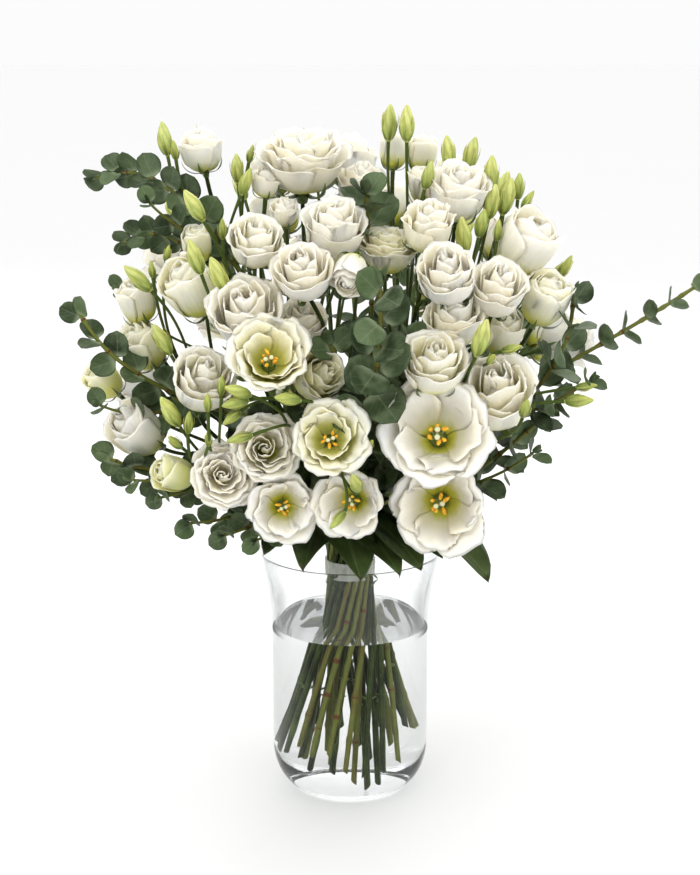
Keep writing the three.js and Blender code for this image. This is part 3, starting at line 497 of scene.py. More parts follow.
@functools.cache
def arranged():
    """Every stem with its line and its heads' stalks, in the order of the tables."""
    stems = []
    for name, rows in LISIANTHUS.items():
        stem = Stem(name, "lisianthus", len(stems))
        stem.heads = [Head(row, f"{name}_{k + 1}") for k, row in enumerate(rows)]
        stem.goal = stem.heads[0].seat
        stems.append(stem)
    for name, twig in EUCALYPTUS.items():
        stem = Stem(name, "eucalyptus", len(stems))
        stem.twig = twig
        stem.bow = np.array(twig[0], float)
        stem.goal = np.array(twig[1], float)
        stems.append(stem)
    seat_in_tie(stems)
    room = Room([head for stem in stems for head in stem.heads])
    for stem in stems:
        choices = [stem_high(stem, np.array(bow), bend) for bow in BOWS for bend in BENDS]
        first = stem.heads[0] if stem.heads else None
        radius = STEM_RADIUS[stem.kind]
        stem.high = room.pick(choices, lambda high: stem_rings(stem, high), radius, stem, first)
    for stem in stems:
        for head in stem.heads[1:]:
            choices = [(fork, stalk_high(stem, head, fork, np.array(bow))) for bow in BOWS for fork in FORKS]
            head.fork, head.stalk = room.pick(choices, stalk_rings, head.radius, stem, head)
    return stems


# ------------------------------------------------------------------ surfaces
class Skin:
    """Gathers surfaces into one mesh. Lengths are in millimetres until the mesh is made. Each point also has
    four values for the materials: rise, from the base of a petal or leaf to its rim; tone, how green or young
    it is; shade, which differs from one petal or leaf to the next; and side, 1 on the outer face."""

    VALUES = ("rise", "tone", "shade", "side")

    def __init__(self):
        self.points = []
        self.values = []
        self.faces = {4: [], 3: []}
        self.count = 0

    def _add(self, points, values, faces, uvs, material):
        """Keeps points, their four values, and their faces of four or three corners, whose indices start at
        0."""
        self.points.append(points)
        self.values.append(values)
        kinds = material if isinstance(material, list) else [material] * len(faces)
        for f, uv, kind in zip(faces, uvs, kinds):
            self.faces[f.shape[-1]].append((f + self.count, uv, np.broadcast_to(kind, (len(f),))))
        self.count += len(points)

    @staticmethod
    def corners(index):
        """The four corners of each cell of a grid of indices."""
        return np.stack([index[:-1, :-1], index[:-1, 1:], index[1:, 1:], index[1:, :-1]], -1).reshape(-1, 4)

    @classmethod
    def _flat(cls, rows, cols):
        """A grid laid flat: the UV place of each of its points, and of the four corners of each of its
        cells."""
        across, along = np.meshgrid(np.linspace(0, 1, cols), np.linspace(0, 1, rows))
        uv = np.stack([across, along], -1)
        return uv, uv.reshape(-1, 2)[cls.corners(np.arange(rows * cols).reshape(rows, cols))]

    @staticmethod
    def _four(rises, *others):
        """The four values of each point: rises, and three that are spread to its shape."""
        return np.stack([rises, *(np.broadcast_to(x, rises.shape) for x in others)], -1).reshape(-1, 4)

    def sheets(self, grid, thickness, material, tone=0.0, shade=0.5, rise=None):
        """Thin closed blades. grid is (sheets, rows, columns, 3). The two faces stand half the thickness off
        the grid along its normal, and meet in the grid's own edge."""
        many, rows, cols = grid.shape[:3]
        normal = unit(np.cross(np.gradient(grid, axis=2), np.gradient(grid, axis=1)))
        inner = np.zeros((rows, cols), bool)
        inner[1:-1, 1:-1] = True
        lift = normal * (inner * thickness / 2)[None, :, :, None]
        front = np.arange(rows * cols).reshape(rows, cols)
        back = front.copy()
        back[inner] = rows * cols + np.arange(inner.sum())
        each = rows * cols + inner.sum()
        points = np.concatenate([(grid + lift).reshape(many, -1, 3), (grid - lift)[:, inner]], axis=1)
        if rise is None:
            rise = np.broadcast_to(np.linspace(0, 1, rows)[:, None], (rows, cols))
        rise = np.broadcast_to(rise, (many, rows, cols))
        rises = np.concatenate([rise.reshape(many, -1), rise[:, inner]], axis=1)
        side = np.concatenate([np.ones(rows * cols), np.zeros(inner.sum())])
        values = self._four(rises, np.reshape(tone, (-1, 1)), np.reshape(shade, (-1, 1)), side)
        _, cell_uv = self._flat(rows, cols)
        uvs = np.concatenate([cell_uv, cell_uv[:, ::-1]])
        cells = np.concatenate([self.corners(front), self.corners(back)[:, ::-1]])
        faces = (cells[None] + (np.arange(many) * each)[:, None, None]).reshape(-1, 4)
        self._add(points.reshape(-1, 3), values, [faces], [np.tile(uvs, (many, 1, 1))], material)

    def tubes(self, grid, material, tone=0.0, shade=0.5, ends=None):
        """Closed bodies. grid is (bodies, rows, columns, 3) with columns that go round, anticlockwise as seen
        from their end. tone is one number, one for each body, or (bodies, rows). material is one number, or
        one for each band between two rows. Each end is closed by a fan to its middle, or to the points of
        ends, (bodies, 2, 3)."""
        many, rows, cols = grid.shape[:3]
        if ends is None:
            ends = np.stack([grid[:, 0].mean(1), grid[:, -1].mean(1)], 1)
        each = rows * cols + 2
        points = np.concatenate([grid.reshape(many, -1, 3), ends], axis=1)
        rise = np.append(np.repeat(np.linspace(0, 1, rows), cols), [0, 1])
        rises = np.broadcast_to(rise, (many, each))
        tone = np.broadcast_to(np.reshape(tone, (-1, 1)) if np.ndim(tone) < 2 else tone, (many, rows))
        tones = np.concatenate([np.repeat(tone, cols, axis=1), tone[:, [0, -1]]], axis=1)
        index = np.pad(np.arange(rows * cols).reshape(rows, cols), ((0, 0), (0, 1)), "wrap")
        quads = self.corners(index)
        first = np.stack([np.full(cols, rows * cols), index[0, 1:], index[0, :-1]], -1)
        last = np.stack([np.full(cols, rows * cols + 1), index[-1, :-1], index[-1, 1:]], -1)
        uv, cell_uv = self._flat(rows, cols + 1)
        middle = (uv[0, :-1] + uv[0, 1:]) / 2
        first_uv = np.stack([middle, uv[0, 1:], uv[0, :-1]], 1)
        last_uv = np.stack([middle + (0, 1), uv[-1, :-1], uv[-1, 1:]], 1)
        step = (np.arange(many) * each)[:, None, None]
        fans = np.concatenate([first, last])
        bands = np.broadcast_to(material, (rows - 1,))
        self._add(
            points.reshape(-1, 3),
            self._four(rises, tones, np.reshape(shade, (-1, 1)), 1.0),
            [(quads[None] + step).reshape(-1, 4), (fans[None] + step).reshape(-1, 3)],
            [np.tile(x, (many, 1, 1)) for x in (cell_uv, np.concatenate([first_uv, last_uv]))],
            [np.tile(np.repeat(x, cols), many) for x in (bands, bands[[0, -1]])],
        )

    def rings(self, grid, material):
        """A closed band. grid is (1, rows, columns, 3) with columns that go round and a last row that is the
        first one again."""
        rows, cols = grid.shape[1] - 1, grid.shape[2]
        index = np.pad(np.arange(rows * cols).reshape(rows, cols), ((0, 1), (0, 1)), "wrap")
        _, cell_uv = self._flat(rows + 1, cols + 1)
        values = self._four(np.full(rows * cols, 0.5), 0.0, 0.5, 1.0)
        self._add(grid[0, :-1].reshape(-1, 3), values, [self.corners(index)], [cell_uv], material)

    def piece(self, name, materials, slot, nodes):
        """The surfaces as one smooth object in metres, which rides on the root body and stands for nodes."""
        mesh = bpy.data.meshes.new(name)
        loops, starts, uvs, slots = [], [], [], []
        start = 0
        for size, found in self.faces.items():
            if not found:
                continue
            faces = np.concatenate([f for f, _, _ in found])
            loops.append(faces.ravel())
            starts.append(start + np.arange(len(faces)) * size)
            start += faces.size
            uvs.append(np.concatenate([uv for _, uv, _ in found]).reshape(-1, 2))
            slots.append(np.concatenate([m for _, _, m in found]))
        loops, starts, uvs, slots = (np.concatenate(x) for x in (loops, starts, uvs, slots))
        mesh.vertices.add(self.count)
        mesh.vertices.foreach_set("co", (np.concatenate(self.points) * MM).astype(np.float32).ravel())
        mesh.loops.add(len(loops))
        mesh.loops.foreach_set("vertex_index", loops.astype(np.int32))
        mesh.polygons.add(len(starts))
        mesh.polygons.foreach_set("loop_start", starts.astype(np.int32))
        mesh.polygons.foreach_set("material_index", slots.astype(np.int32))
        mesh.polygons.foreach_set("use_smooth", np.ones(len(starts), bool))
        mesh.update(calc_edges=True)
        mesh.uv_layers.new(name="UVMap").data.foreach_set("uv", uvs.astype(np.float32).ravel())
        values = np.concatenate(self.values).astype(np.float32)
        for k, value in enumerate(self.VALUES):
            mesh.attributes.new(value, "FLOAT", "POINT").data.foreach_set("value", values[:, k].copy())
        if mesh.validate():
            raise RuntimeError(f"{name} has faces that make no surface")
        for material in materials:
            mesh.materials.append(material)
        piece = bpy.data.objects.new(name, mesh)
        bpy.context.scene.collection.objects.link(piece)
        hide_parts(*nodes)
        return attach(piece, "root")


def tube_grid(path, radius, sides):
    """A circle of radius about each point of a path, at right angles to it: (1, points, sides, 3)."""
    along = tangents(path)
    reference = np.eye(3)[np.argmin(np.abs(along.mean(0)))]
    aside = unit(reference - (along @ reference)[:, None] * along)
    ahead = np.cross(along, aside)
    angle = np.arange(sides) / sides * TURN
    ring = aside[:, None] * np.cos(angle)[None, :, None] + ahead[:, None] * np.sin(angle)[None, :, None]
    radius = np.broadcast_to(np.asarray(radius, float), (len(path),))
    return (np.asarray(path)[:, None] + ring * radius[:, None, None])[None]


def turned_grid(outline, sides, wave=0.0):
    """An outline of (radius, height) turned about +Z: (1, points, sides, 3). wave, of (points, sides), is
    added to the radius."""
    outline = np.asarray(outline, float)
    angle = np.arange(sides) / sides * TURN
    r = np.broadcast_to(outline[:, :1], (len(outline), sides)) + wave
    z = np.broadcast_to(outline[:, 1:], r.shape)
    return np.stack([r * np.cos(angle), r * np.sin(angle), z], -1)[None]


def set_on(grid, frame_rows, seat, scale=1.0):
    """A grid in a head's own frame put on its seat: each point times the three unit vectors, plus the
    seat."""
    return grid * scale @ frame_rows + seat


# ------------------------------------------------------------------ petals, buds and leaves
# The layers of a flower one wide, from the outside in. A row holds the radii and the heights of the Bezier
# points of a petal's middle line, from its base to its rim; how many petals; the degrees that a petal reaches
# to each side at the rim; and the spiral, ruffle, curl and rounding that petal_layer gives it.
FLOWER_LAYERS = {
    "open": [
        ((0.03, 0.27, 0.43, 0.37, 0.55), (0.0, -0.02, 0.28, 0.52, 0.6), 5, 54, 0.03, 0.026, 0.035, 0.24),
        ((0.03, 0.2, 0.37, 0.31, 0.46), (0.02, 0.0, 0.24, 0.5, 0.6), 5, 52, 0.035, 0.028, 0.03, 0.24),
        ((0.02, 0.13, 0.29, 0.25, 0.31), (0.04, 0.03, 0.22, 0.42, 0.56), 4, 58, 0.03, 0.02, 0.02, 0.2),
    ],
    "full": [
        ((0.03, 0.3, 0.47, 0.42, 0.56), (0.0, -0.03, 0.24, 0.44, 0.52), 5, 54, 0.03, 0.028, 0.045, 0.22),
        ((0.03, 0.27, 0.42, 0.38, 0.5), (0.02, 0.02, 0.3, 0.5, 0.6), 5, 52, 0.035, 0.028, 0.04, 0.22),
        ((0.03, 0.22, 0.36, 0.32, 0.42), (0.04, 0.06, 0.34, 0.54, 0.66), 4, 62, 0.04, 0.026, 0.03, 0.2),
        ((0.02, 0.16, 0.3, 0.24, 0.31), (0.06, 0.08, 0.38, 0.58, 0.7), 4, 68, 0.05, 0.024, 0.02, 0.18),
        ((0.02, 0.1, 0.22, 0.14, 0.17), (0.08, 0.12, 0.4, 0.62, 0.72), 3, 90, 0.06, 0.018, 0.0, 0.16),
        ((0.01, 0.05, 0.14, 0.05, 0.03), (0.1, 0.2, 0.45, 0.64, 0.73), 2, 110, 0.05, 0.01, 0.0, 0.16),
    ],
    "half": [
        ((0.04, 0.36, 0.56, 0.42, 0.54), (0.0, -0.02, 0.3, 0.58, 0.67), 3, 78, 0.05, 0.034, 0.06, 0.2),
        ((0.04, 0.3, 0.48, 0.36, 0.45), (0.03, 0.04, 0.36, 0.64, 0.8), 3, 74, 0.06, 0.034, 0.045, 0.2),
        ((0.03, 0.22, 0.4, 0.27, 0.31), (0.06, 0.1, 0.4, 0.72, 0.92), 3, 78, 0.06, 0.026, 0.03, 0.18),
        ((0.02, 0.14, 0.3, 0.16, 0.13), (0.1, 0.15, 0.45, 0.76, 0.98), 3, 100, 0.06, 0.018, 0.01, 0.16),
        ((0.01, 0.06, 0.17, 0.07, 0.02), (0.14, 0.2, 0.5, 0.8, 1.0), 2, 120, 0.05, 0.012, 0.0, 0.16),
    ],
    "cup": [
        ((0.05, 0.4, 0.57, 0.42, 0.44), (0.0, 0.0, 0.46, 0.84, 1.06), 3, 80, 0.05, 0.03, 0.035, 0.24),
        ((0.04, 0.33, 0.51, 0.36, 0.27), (0.05, 0.1, 0.52, 0.88, 1.14), 3, 86, 0.055, 0.018, 0.01, 0.2),
        ((0.02, 0.22, 0.42, 0.28, 0.12), (0.1, 0.2, 0.6, 0.92, 1.14), 3, 96, 0.05, 0.012, 0.0, 0.18),
        ((0.01, 0.12, 0.26, 0.12, 0.02), (0.2, 0.3, 0.66, 0.96, 1.15), 2, 130, 0.05, 0.008, 0.0, 0.14),
    ],
}
TWIST = {"open": 6, "full": 10, "half": 16, "cup": 26}  # degrees that a petal turns on its way up
FRESH = {"open": 0.32, "half": 0.18, "cup": 0.36}  # how green a flower's throat and base are
# The flowers that are greener than others of their form, and the ones that are fully blown and so less green.
GREENER = {
    "low_middle_1": 0.5, "middle_left_1": 0.46, "middle_left_3": 0.5, "middle_right_1": 0.34, "right_2": 0.3,
    "middle_right_2": 0.3, "left_1": 0.5, "low_left_5": 0.75, "right_1": 0.45, "mid_left_3": 0.6,
}
BLOWN = {
    "low_right_1": 0.12, "low_right_2": 0.18, "low_mid_left_2": 0.2, "low_middle_2": 0.2, "low_left_1": 0.0,
}
# Flowers with so many petals that their middle is hidden.
FULL = ("top_middle_1", "top_right_middle_2", "low_left_1", "low_mid_left_1")
PETAL_ROWS = 15
PETAL_COLUMNS = 15
PETAL_THICKNESS = 0.45
LEAF_THICKNESS = 0.5
STAMENS = 6
SEPALS = 5
# The rolled petals of a bud, how many turns of one they make on their way up, and the power by which they
# climb.
BUD_PETALS = 5
BUD_ROLL = 1.5
BUD_ROLL_POWER = 1.3
BUD_PROFILE = [(0.1, 0.0), (0.55, 0.25), (0.7, 1.0), (0.46, 1.9), (0.08, 2.5)]


def petal_layer(rng, profile, count, half, spiral, ruffle, curl, rounding, turn, twist, shift):
    """The petals of one layer, for a flower one wide: (count, rows, columns, 3). With u from -1 to 1 across a
    petal and s from 0 to 1 up it, s less at the sides so that the rim is round, a point lies at the profile's
    radius and height at s, and at the petal's angle plus u times half, which is less near the base. The
    radius grows with u to lap each petal over the next, ripples along the rim by a sine of u, and grows with
    the square of s near the rim, where it curls out. The layer leans off the axis by shift at its rim."""
    u = np.linspace(-1, 1, PETAL_COLUMNS)[None, None]
    v = np.linspace(0, 1, PETAL_ROWS)[None, :, None]
    wave = rng.uniform(0, TURN, (count, 1, 1))
    height = 1 + rng.uniform(-0.07, 0.05, (count, 1, 1))
    lean = 1 + rng.uniform(-0.1, 0.08, (count, 1, 1))
    notch = rounding * rng.uniform(0.8, 1.2, (count, 1, 1))
    s = v * (1 - notch * np.abs(u) ** 2.4 - 0.025 * (1 + np.sin(3.1 * u + wave)))
    r, z = np.moveaxis(bezier(profile, s), -1, 0)
    r = r * (1 + (lean - 1) * s)
    z = z * height
    fan = 0.62 + 0.38 * smooth(s, 0, 0.5)
    angle = turn + np.arange(count)[:, None, None] * TURN / count
    angle = angle + rng.uniform(-0.1, 0.1, (count, 1, 1))
    angle = angle + math.radians(half) * u * fan + math.radians(twist) * s
    rim = np.clip((s - 0.62) / 0.38, 0, None) ** 2
    ripple = np.sin(2.2 * math.pi * u + wave) + 0.5 * np.sin(4.7 * math.pi * u + 2 * wave)
    r = r + spiral * u * s + ruffle * s**3 * ripple + curl * rim
    z = z + ruffle * 0.9 * s**3 * np.cos(1.9 * math.pi * u + 1.3 * wave) - curl * 0.7 * rim
    r = r - 0.012 * np.exp(-((u / 0.16) ** 2)) * np.sin(math.pi * s)
    r = r + 0.008 * s**2 * np.sin(3.3 * math.pi * u + 5 * s + 3 * wave)
    return np.stack([r * np.cos(angle) + shift[0] * s, r * np.sin(angle) + shift[1] * s, z], -1), s


def grow_flower(skin, head, petal, stamen, pistil):
    """A flower on its seat: its layers of petals, and stamens round a pistil where it is open."""
    rng = seeded(head.label, head.form)
    rows = basis(head.axis, rng.uniform(0, TURN))
    green = FRESH[head.form] + 0.14 * rng.uniform(-1, 1)
    green = BLOWN.get(head.label, GREENER.get(head.label, green))
    turn = rng.uniform(0, TURN)
    wide = 1 + rng.uniform(-0.1, 0.06) * (head.form != "open")
    form = "full" if head.label in FULL else head.form
    layers = FLOWER_LAYERS[form][: 2 if head.label in BLOWN and form == "open" else None]
    for depth, (radii, heights, count, *bends) in enumerate(layers):
        profile = np.stack([radii, heights], -1)
        profile[3:, 0] *= wide
        profile[3:, 1] /= wide
        shift = rng.uniform(-0.014, 0.014, 2) * depth
        grid, s = petal_layer(rng, profile, count, *bends, turn, TWIST[form], shift)
        turn += math.pi / count + rng.uniform(-0.2, 0.2)
        shade = rng.uniform(0, 1, count)
        tone = max(green, 0.02) + 0.03 * depth
        skin.sheets(set_on(grid, rows, head.seat, head.width), PETAL_THICKNESS, petal, tone, shade, s)
    if form == "open":
        grow_middle(skin, head, rng, rows, stamen, pistil)


def bead_grid(low, high, radius, sides, steps):
    """A closed bead between two points: a circle round the line, whose radius goes as the root of a sine."""
    t = np.linspace(0.06, 0.94, steps)
    path = np.asarray(low) + (np.asarray(high) - low) * t[:, None]
    return tube_grid(path, radius * np.sin(math.pi * t) ** 0.5, sides)


def grow_middle(skin, head, rng, rows, stamen, pistil):
    """A green ovary and style with two pale lobes on it, and six stamens that lean out with long anthers."""
    def put(grid, material, tone, shade):
        skin.tubes(set_on(grid, rows, head.seat), material, tone, shade)

    width = head.width
    base = np.array([0.0, 0.0, 0.06 * width])
    neck = base + (0, 0, 0.2 * width)
    put(bead_grid(base, neck, 0.055 * width, 8, 7), pistil, 1.0, 0.2)
    top = neck + (0, 0, 0.08 * width)
    put(tube_grid(np.linspace(neck - (0, 0, 1), top, 4), 0.015 * width, 6), pistil, 0.7, 0.3)
    for side in (-1, 1):
        lobe = top + np.array([side * 0.028 * width, 0, -0.01 * width])
        tip = top + np.array([side * 0.05 * width, 0, 0.045 * width])
        put(bead_grid(lobe, tip, 0.03 * width, 8, 6), pistil, 0.3, 0.8)
    for k in range(STAMENS):
        angle = k / STAMENS * TURN + rng.uniform(-0.3, 0.3)
        out = np.array([math.cos(angle), math.sin(angle), 0])
        high = 0.25 * width * rng.uniform(0.85, 1.15)
        bends = [(0.03, 0.0), (0.07, high * 0.5), (0.08, high)]
        points = [base + out * aside * width + (0, 0, up) for aside, up in bends]
        path = bezier(points, np.linspace(0, 1, 6))
        put(tube_grid(path, 0.007 * width, 5), pistil, 0.5, 0.6)
        tilt = (out * rng.uniform(0.02, 0.06) + rng.normal(0, 0.02, 3)) * width + (0, 0, 0.04 * width)
        anther = bead_grid(path[-1] - tilt * 0.6, path[-1] + tilt, 0.023 * width, 7, 6)
        put(anther, stamen, 0.0, rng.uniform(0, 1))


def grow_bud(skin, head, material):
    """A closed bud: a spindle whose radius follows a Bezier profile, times one plus a saw of five steps round
    it that turns as it rises, which gives the edges of its rolled petals."""
    rng = seeded(head.label, "bud")
    rows = basis(head.axis, rng.uniform(0, TURN))
    steps, sides = 18, 25
    t = np.linspace(0.0, 1, steps)
    fat = 1.0 if head.height > 19 else 0.86
    r, z = bezier(BUD_PROFILE, t).T
    angle = np.arange(sides) / sides
    phase = (angle[None] * BUD_PETALS + BUD_ROLL * t[:, None] ** BUD_ROLL_POWER) % 1.0
    saw = (phase - 0.5) * 0.2 * smooth(t, 0.1, 0.45)[:, None]
    r = r[:, None] * fat * (1 + saw)
    turn = angle * TURN
    z = np.broadcast_to(z[:, None], r.shape)
    grid = np.stack([r * np.cos(turn), r * np.sin(turn), z], -1)[None]
    tone = 0.55 + 0.45 * (1 - smooth(head.height, 15, 27)) + rng.uniform(-0.12, 0.12)
    skin.tubes(set_on(grid, rows, head.seat, head.width), material, tone, rng.uniform(0, 1))


def sepal_grid(profile, half_width, turn):
    """Narrow pointed sepals on a head one wide: the profile turned about the axis, each as wide across as a
    sine of the way up it, and hollow towards the axis."""
    u = np.linspace(-1, 1, 5)[None, None]
    s = np.linspace(0, 1, 8)[None, :, None]
    r, z = np.moveaxis(bezier(profile, s), -1, 0)
    wide = half_width * (0.35 + 0.65 * np.sin(math.pi * np.clip(s * 0.85 + 0.12, 0, 1))) * (1 - s**4 * 0.9)
    angle = turn + np.arange(SEPALS)[:, None, None] * TURN / SEPALS
    r = r - 0.25 * wide * u**2
    x = r * np.cos(angle) - wide * u * np.sin(angle)
    y = r * np.sin(angle) + wide * u * np.cos(angle)
    return np.stack([x, y, np.broadcast_to(z, x.shape)], -1)


def grow_calyx(skin, head, material):
    """The green base of a head and its five narrow sepals, which follow a bud and spread a little from a
    flower."""
    rng = seeded(head.label, "calyx")
    rows = basis(head.axis, rng.uniform(0, TURN))
    if head.form == "bud":
        reach = rng.uniform(0.62, 0.85) * HEAD_HEIGHT["bud"]
        spread = rng.uniform(0.02, 0.14)
        tips = [(0.54 + spread, reach * 0.75), (0.42 + spread, reach)]
        profile = [(0.12, -0.05), (0.42, 0.1), (0.66, 0.8), *tips]
        half_width, cup = 0.13, 0.2
    else:
        height = HEAD_HEIGHT[head.form]
        reach = height * rng.uniform(0.3, 0.42)
        lean = 0.46 if head.form == "open" else 0.5
        profile = [(0.05, -0.03), (0.25, -0.06), (0.42, 0.0), (lean, reach * 0.5), (lean, reach)]
        half_width, cup = 0.055, 0.1
    grid = set_on(sepal_grid(profile, half_width, rng.uniform(0, 6)), rows, head.seat, head.width)
    skin.sheets(grid, 0.4, material, rng.uniform(0.75, 1.0), rng.uniform(0, 1, SEPALS))
    seat = [(0.06, -0.16), (cup * 0.8, -0.08), (cup, 0.0), (cup * 0.9, 0.07), (cup * 0.4, 0.1)]
    skin.tubes(set_on(turned_grid(seat, 10), rows, head.seat, head.width), material, 0.6, 0.5)


def blades(base, axis, normal, length, width, droop, cup, outline, rows, cols, fold=0.0, wave=0.0, phase=0.0,
           arch=0.0):
    """Leaf blades, one for each axis: (leaves, rows, columns, 3). With v from 0 to 1 along a leaf and u from
    -1 to 1 across it, a point lies at v lengths along its axis and u half widths to its side, with the half
    width given by outline at v. It rises with the square of u where the blade is cupped, by the size of u
    where it is folded, falls with the square of v where it droops, and stands over its chord by v times 1 - v
    where it is arched. A sine of v waves the edges."""
    base, axis, normal = (np.asarray(x, float).reshape(-1, 3) for x in (base, axis, normal))
    axis = unit(axis)
    normal = unit(normal - (normal * axis).sum(-1, keepdims=True) * axis)
    side = np.cross(normal, axis)
    length, width, droop, cup, phase = (
        np.broadcast_to(x, len(axis))[:, None, None] for x in (length, width, droop, cup, phase)
    )
    v = np.linspace(0, 1, rows)[None, :, None]
    u = np.linspace(-1, 1, cols)[None, None]
    half = outline(v) * width / 2
    rise = cup * width * (u**2 - 0.3) * np.sin(math.pi * np.clip(v, 0, 1)) ** 0.7
    rise = rise + fold * half * np.abs(u) - droop * v**2 + arch * 4 * v * (1 - v)
    rise = rise + wave * width * np.abs(u) ** 1.5 * np.sin(9 * v + phase + 1.3 * u)
    along = length * (v + 0.02 * np.abs(u) * (1 - v))
    parts = [along, -half * u * np.ones_like(along), rise]
    ways = [axis, side, normal]
    return base[:, None, None] + sum(p[..., None] * w[:, None, None] for p, w in zip(parts, ways))


def round_outline(v):
    """The half width of a round leaf, as a share: a circle's, a little pointed at the tip and drawn in at the
    base."""
    return np.sqrt(np.clip(1 - (2 * v - 1) ** 2, 0, 1)) * (1 - 0.12 * v) * smooth(v, -0.06, 0.12) + 0.02


def long_outline(v):
    """The half width of a long leaf, as a share: widest at two fifths of its length, with a drawn-out tip."""
    return np.sin(math.pi * np.clip(v, 0, 1) ** 0.75) ** 0.85 * (1 - 0.25 * v) + 0.02


def broad_outline(v):
    """The half width of a broad leaf, as a share: widest past the middle of its length, with a short tip."""
    return np.sin(math.pi * np.clip(v, 0, 1) ** 1.05) ** 0.62 * (1 - 0.3 * v**5) + 0.02


def stem_path(stem):
    """The points of a stem from its cut end to its top, close enough to show the rings of a twig."""
    return stem.line(np.linspace(0, 1, 240 if stem.kind == "eucalyptus" else 110))


def knots(path, places, width):
    """The swellings of a stem at its nodes: for each place, a share of the path, a bell curve of the
    distance."""
    way = np.append(0, np.cumsum(np.linalg.norm(np.diff(path, axis=0), axis=1)))
    at = np.asarray(places)[:, None] * way[-1]
    return np.exp(-(((way[None] - at) / width) ** 2)).sum(0)


def grow_stem(skin, stem, material, sides, places, swell):
    """A stem as a tube that thins to its top and swells at its nodes, with its lower end cut at a slant."""
    rng = seeded(stem.name, "stem")
    path = stem_path(stem)
    radius = STEM_RADIUS[stem.kind]
    radii = radius * (1 - (1 - UPPER_SHARE) * np.linspace(0, 1, len(path)))
    rings = knots(path, places, 1.1)
    radii = radii + swell * knots(path, places, 2.2)
    grid = tube_grid(path, radii, sides)
    slant = unit(rng.normal(size=3) * (1, 1, 0)) * 0.9
    reach = ((grid[0, 0] - path[0]) @ slant)[:, None]
    grid[0, 0] = grid[0, 0] + tangents(path)[0] * reach
    skin.tubes(grid, material, np.clip(rings, 0, 1)[None], rng.uniform(0, 1))


def grow_stubs(skin, stem, material):
    """What is left of the leaves that were stripped from the part of a stem in the water: pairs of short
    stubs."""
    rng = seeded(stem.name, "stubs")
    for t in (0.05, 0.12):
        at, on = stem.line(np.array([t, t + 0.004]))
        along = unit(on - at)
        across = basis(along, rng.uniform(0, math.pi))[0]
        out = np.stack([across, -across])
        length = rng.uniform(4, 6.5, 2)
        grid = blades(at + out * 1.5, unit(out * 0.8 + along), along, length, length * 0.6, 1.0, 0.1,
                      long_outline, 6, 5, fold=0.3)
        skin.sheets(grid, 0.6, material, 1.0, rng.uniform(0, 1, 2))


def grow_stalk(skin, head, material):
    """A side stalk as a thin tube from inside its stem to its head, a little thicker under the head."""
    t = np.linspace(0, 1, 26)
    path = bezier(head.stalk, t)
    radii = head.radius * (1 + 0.3 * (1 - t) ** 6 + 0.35 * t**8)
    tone = 0.5 if head.form == "bud" else 0.3
    skin.tubes(tube_grid(path, radii, 8), material, tone, vary(len(head.label) * 7))


def grow_bracts(skin, stem, material):
    """A pair of narrow leaves at each fork and at a few joints lower down, shorter towards the top."""
    rng = seeded(stem.name, "bracts")
    places = sorted([head.fork for head in stem.heads[1:]] + [0.26, 0.44])
    for t in places:
        at, on = bezier(stem.high, np.array([t, min(t + 1e-3, 1)]))
        along = unit(on - at)
        across = basis(along, rng.uniform(0, math.pi))[0]
        length = (46 - 38 * t) * rng.uniform(0.8, 1.15)
        out = np.stack([across, -across])
        width = length * rng.uniform(0.24, 0.34)
        droop = length * rng.uniform(0.08, 0.2)
        grid = blades(at, unit(out * 0.75 + along * 0.8), along, length, width, droop, 0.06, long_outline,
                      10, 7, fold=0.22, wave=0.02, phase=rng.uniform(0, 6, 2))
        skin.sheets(grid, LEAF_THICKNESS, material, 0.2 + 0.3 * t, rng.uniform(0, 1, 2))


def grow_collar(skin, stem, material):
    """The broad leaves that a stem carries in the collar under the flowers and among the stalks."""
    for k, (owner, t, tip, width, arch) in enumerate(COLLAR_LEAVES):
        if owner != stem.name:
            continue
        base = bezier(stem.high, np.array([t]))
        chord = tip - base[0]
        grid = blades(base, chord, (0, 0, 1), np.linalg.norm(chord), width, 0.0, 0.1, broad_outline, 24, 11,
                      fold=0.16, wave=0.08, phase=k * 1.7, arch=arch)
        skin.sheets(grid, LEAF_THICKNESS * 1.2, material, 0.12, vary(k * 13))


def twig_leaves(stem, high, twig, count, start=0):
    """Bases, axes, normals, lengths and places of a twig's opposite pairs of leaves, each pair a quarter turn
    from the last and smaller towards the tip. The pairs turn about the twig, or about the way that LEANING
    gives it."""
    bare, leaf, turn = twig
    found = []
    for k in range(count):
        t = bare + (0.985 - bare) * k / (count - 1)
        at = bezier(high, np.array([t - 1e-4, t, min(t + 1e-4, 1)]))
        along = unit(at[2] - at[0])
        lead, pull = LEANING.get(stem.name, (along, 0))
        along = unit(along * (1 - pull) + unit(lead) * pull)
        across = unit(np.cross((0, 0, 1), along))
        share = (t - bare) / (1 - bare)
        length = leaf * (1 - 0.38 * share) * (0.9 + 0.18 * vary(stem.index * 31 + start + k))
        for half in (0, 1):
            stray = 0.16 * (vary(stem.index * 17 + start + k * 2 + half) - 0.5)
            out = turned_about(across, along, math.pi * (half + (k % 2) / 2 + 0.25 + stray))
            axis = unit(out * 0.86 + along * (0.5 + 0.35 * share))
            normal = unit(along - axis * (along @ axis))
            normal = turned_about(normal, axis, turn * math.pi / 2 * (-1 if half else 1))
            found.append((at[1], axis, normal, length, t))
    return [np.array(x) for x in zip(*found)]


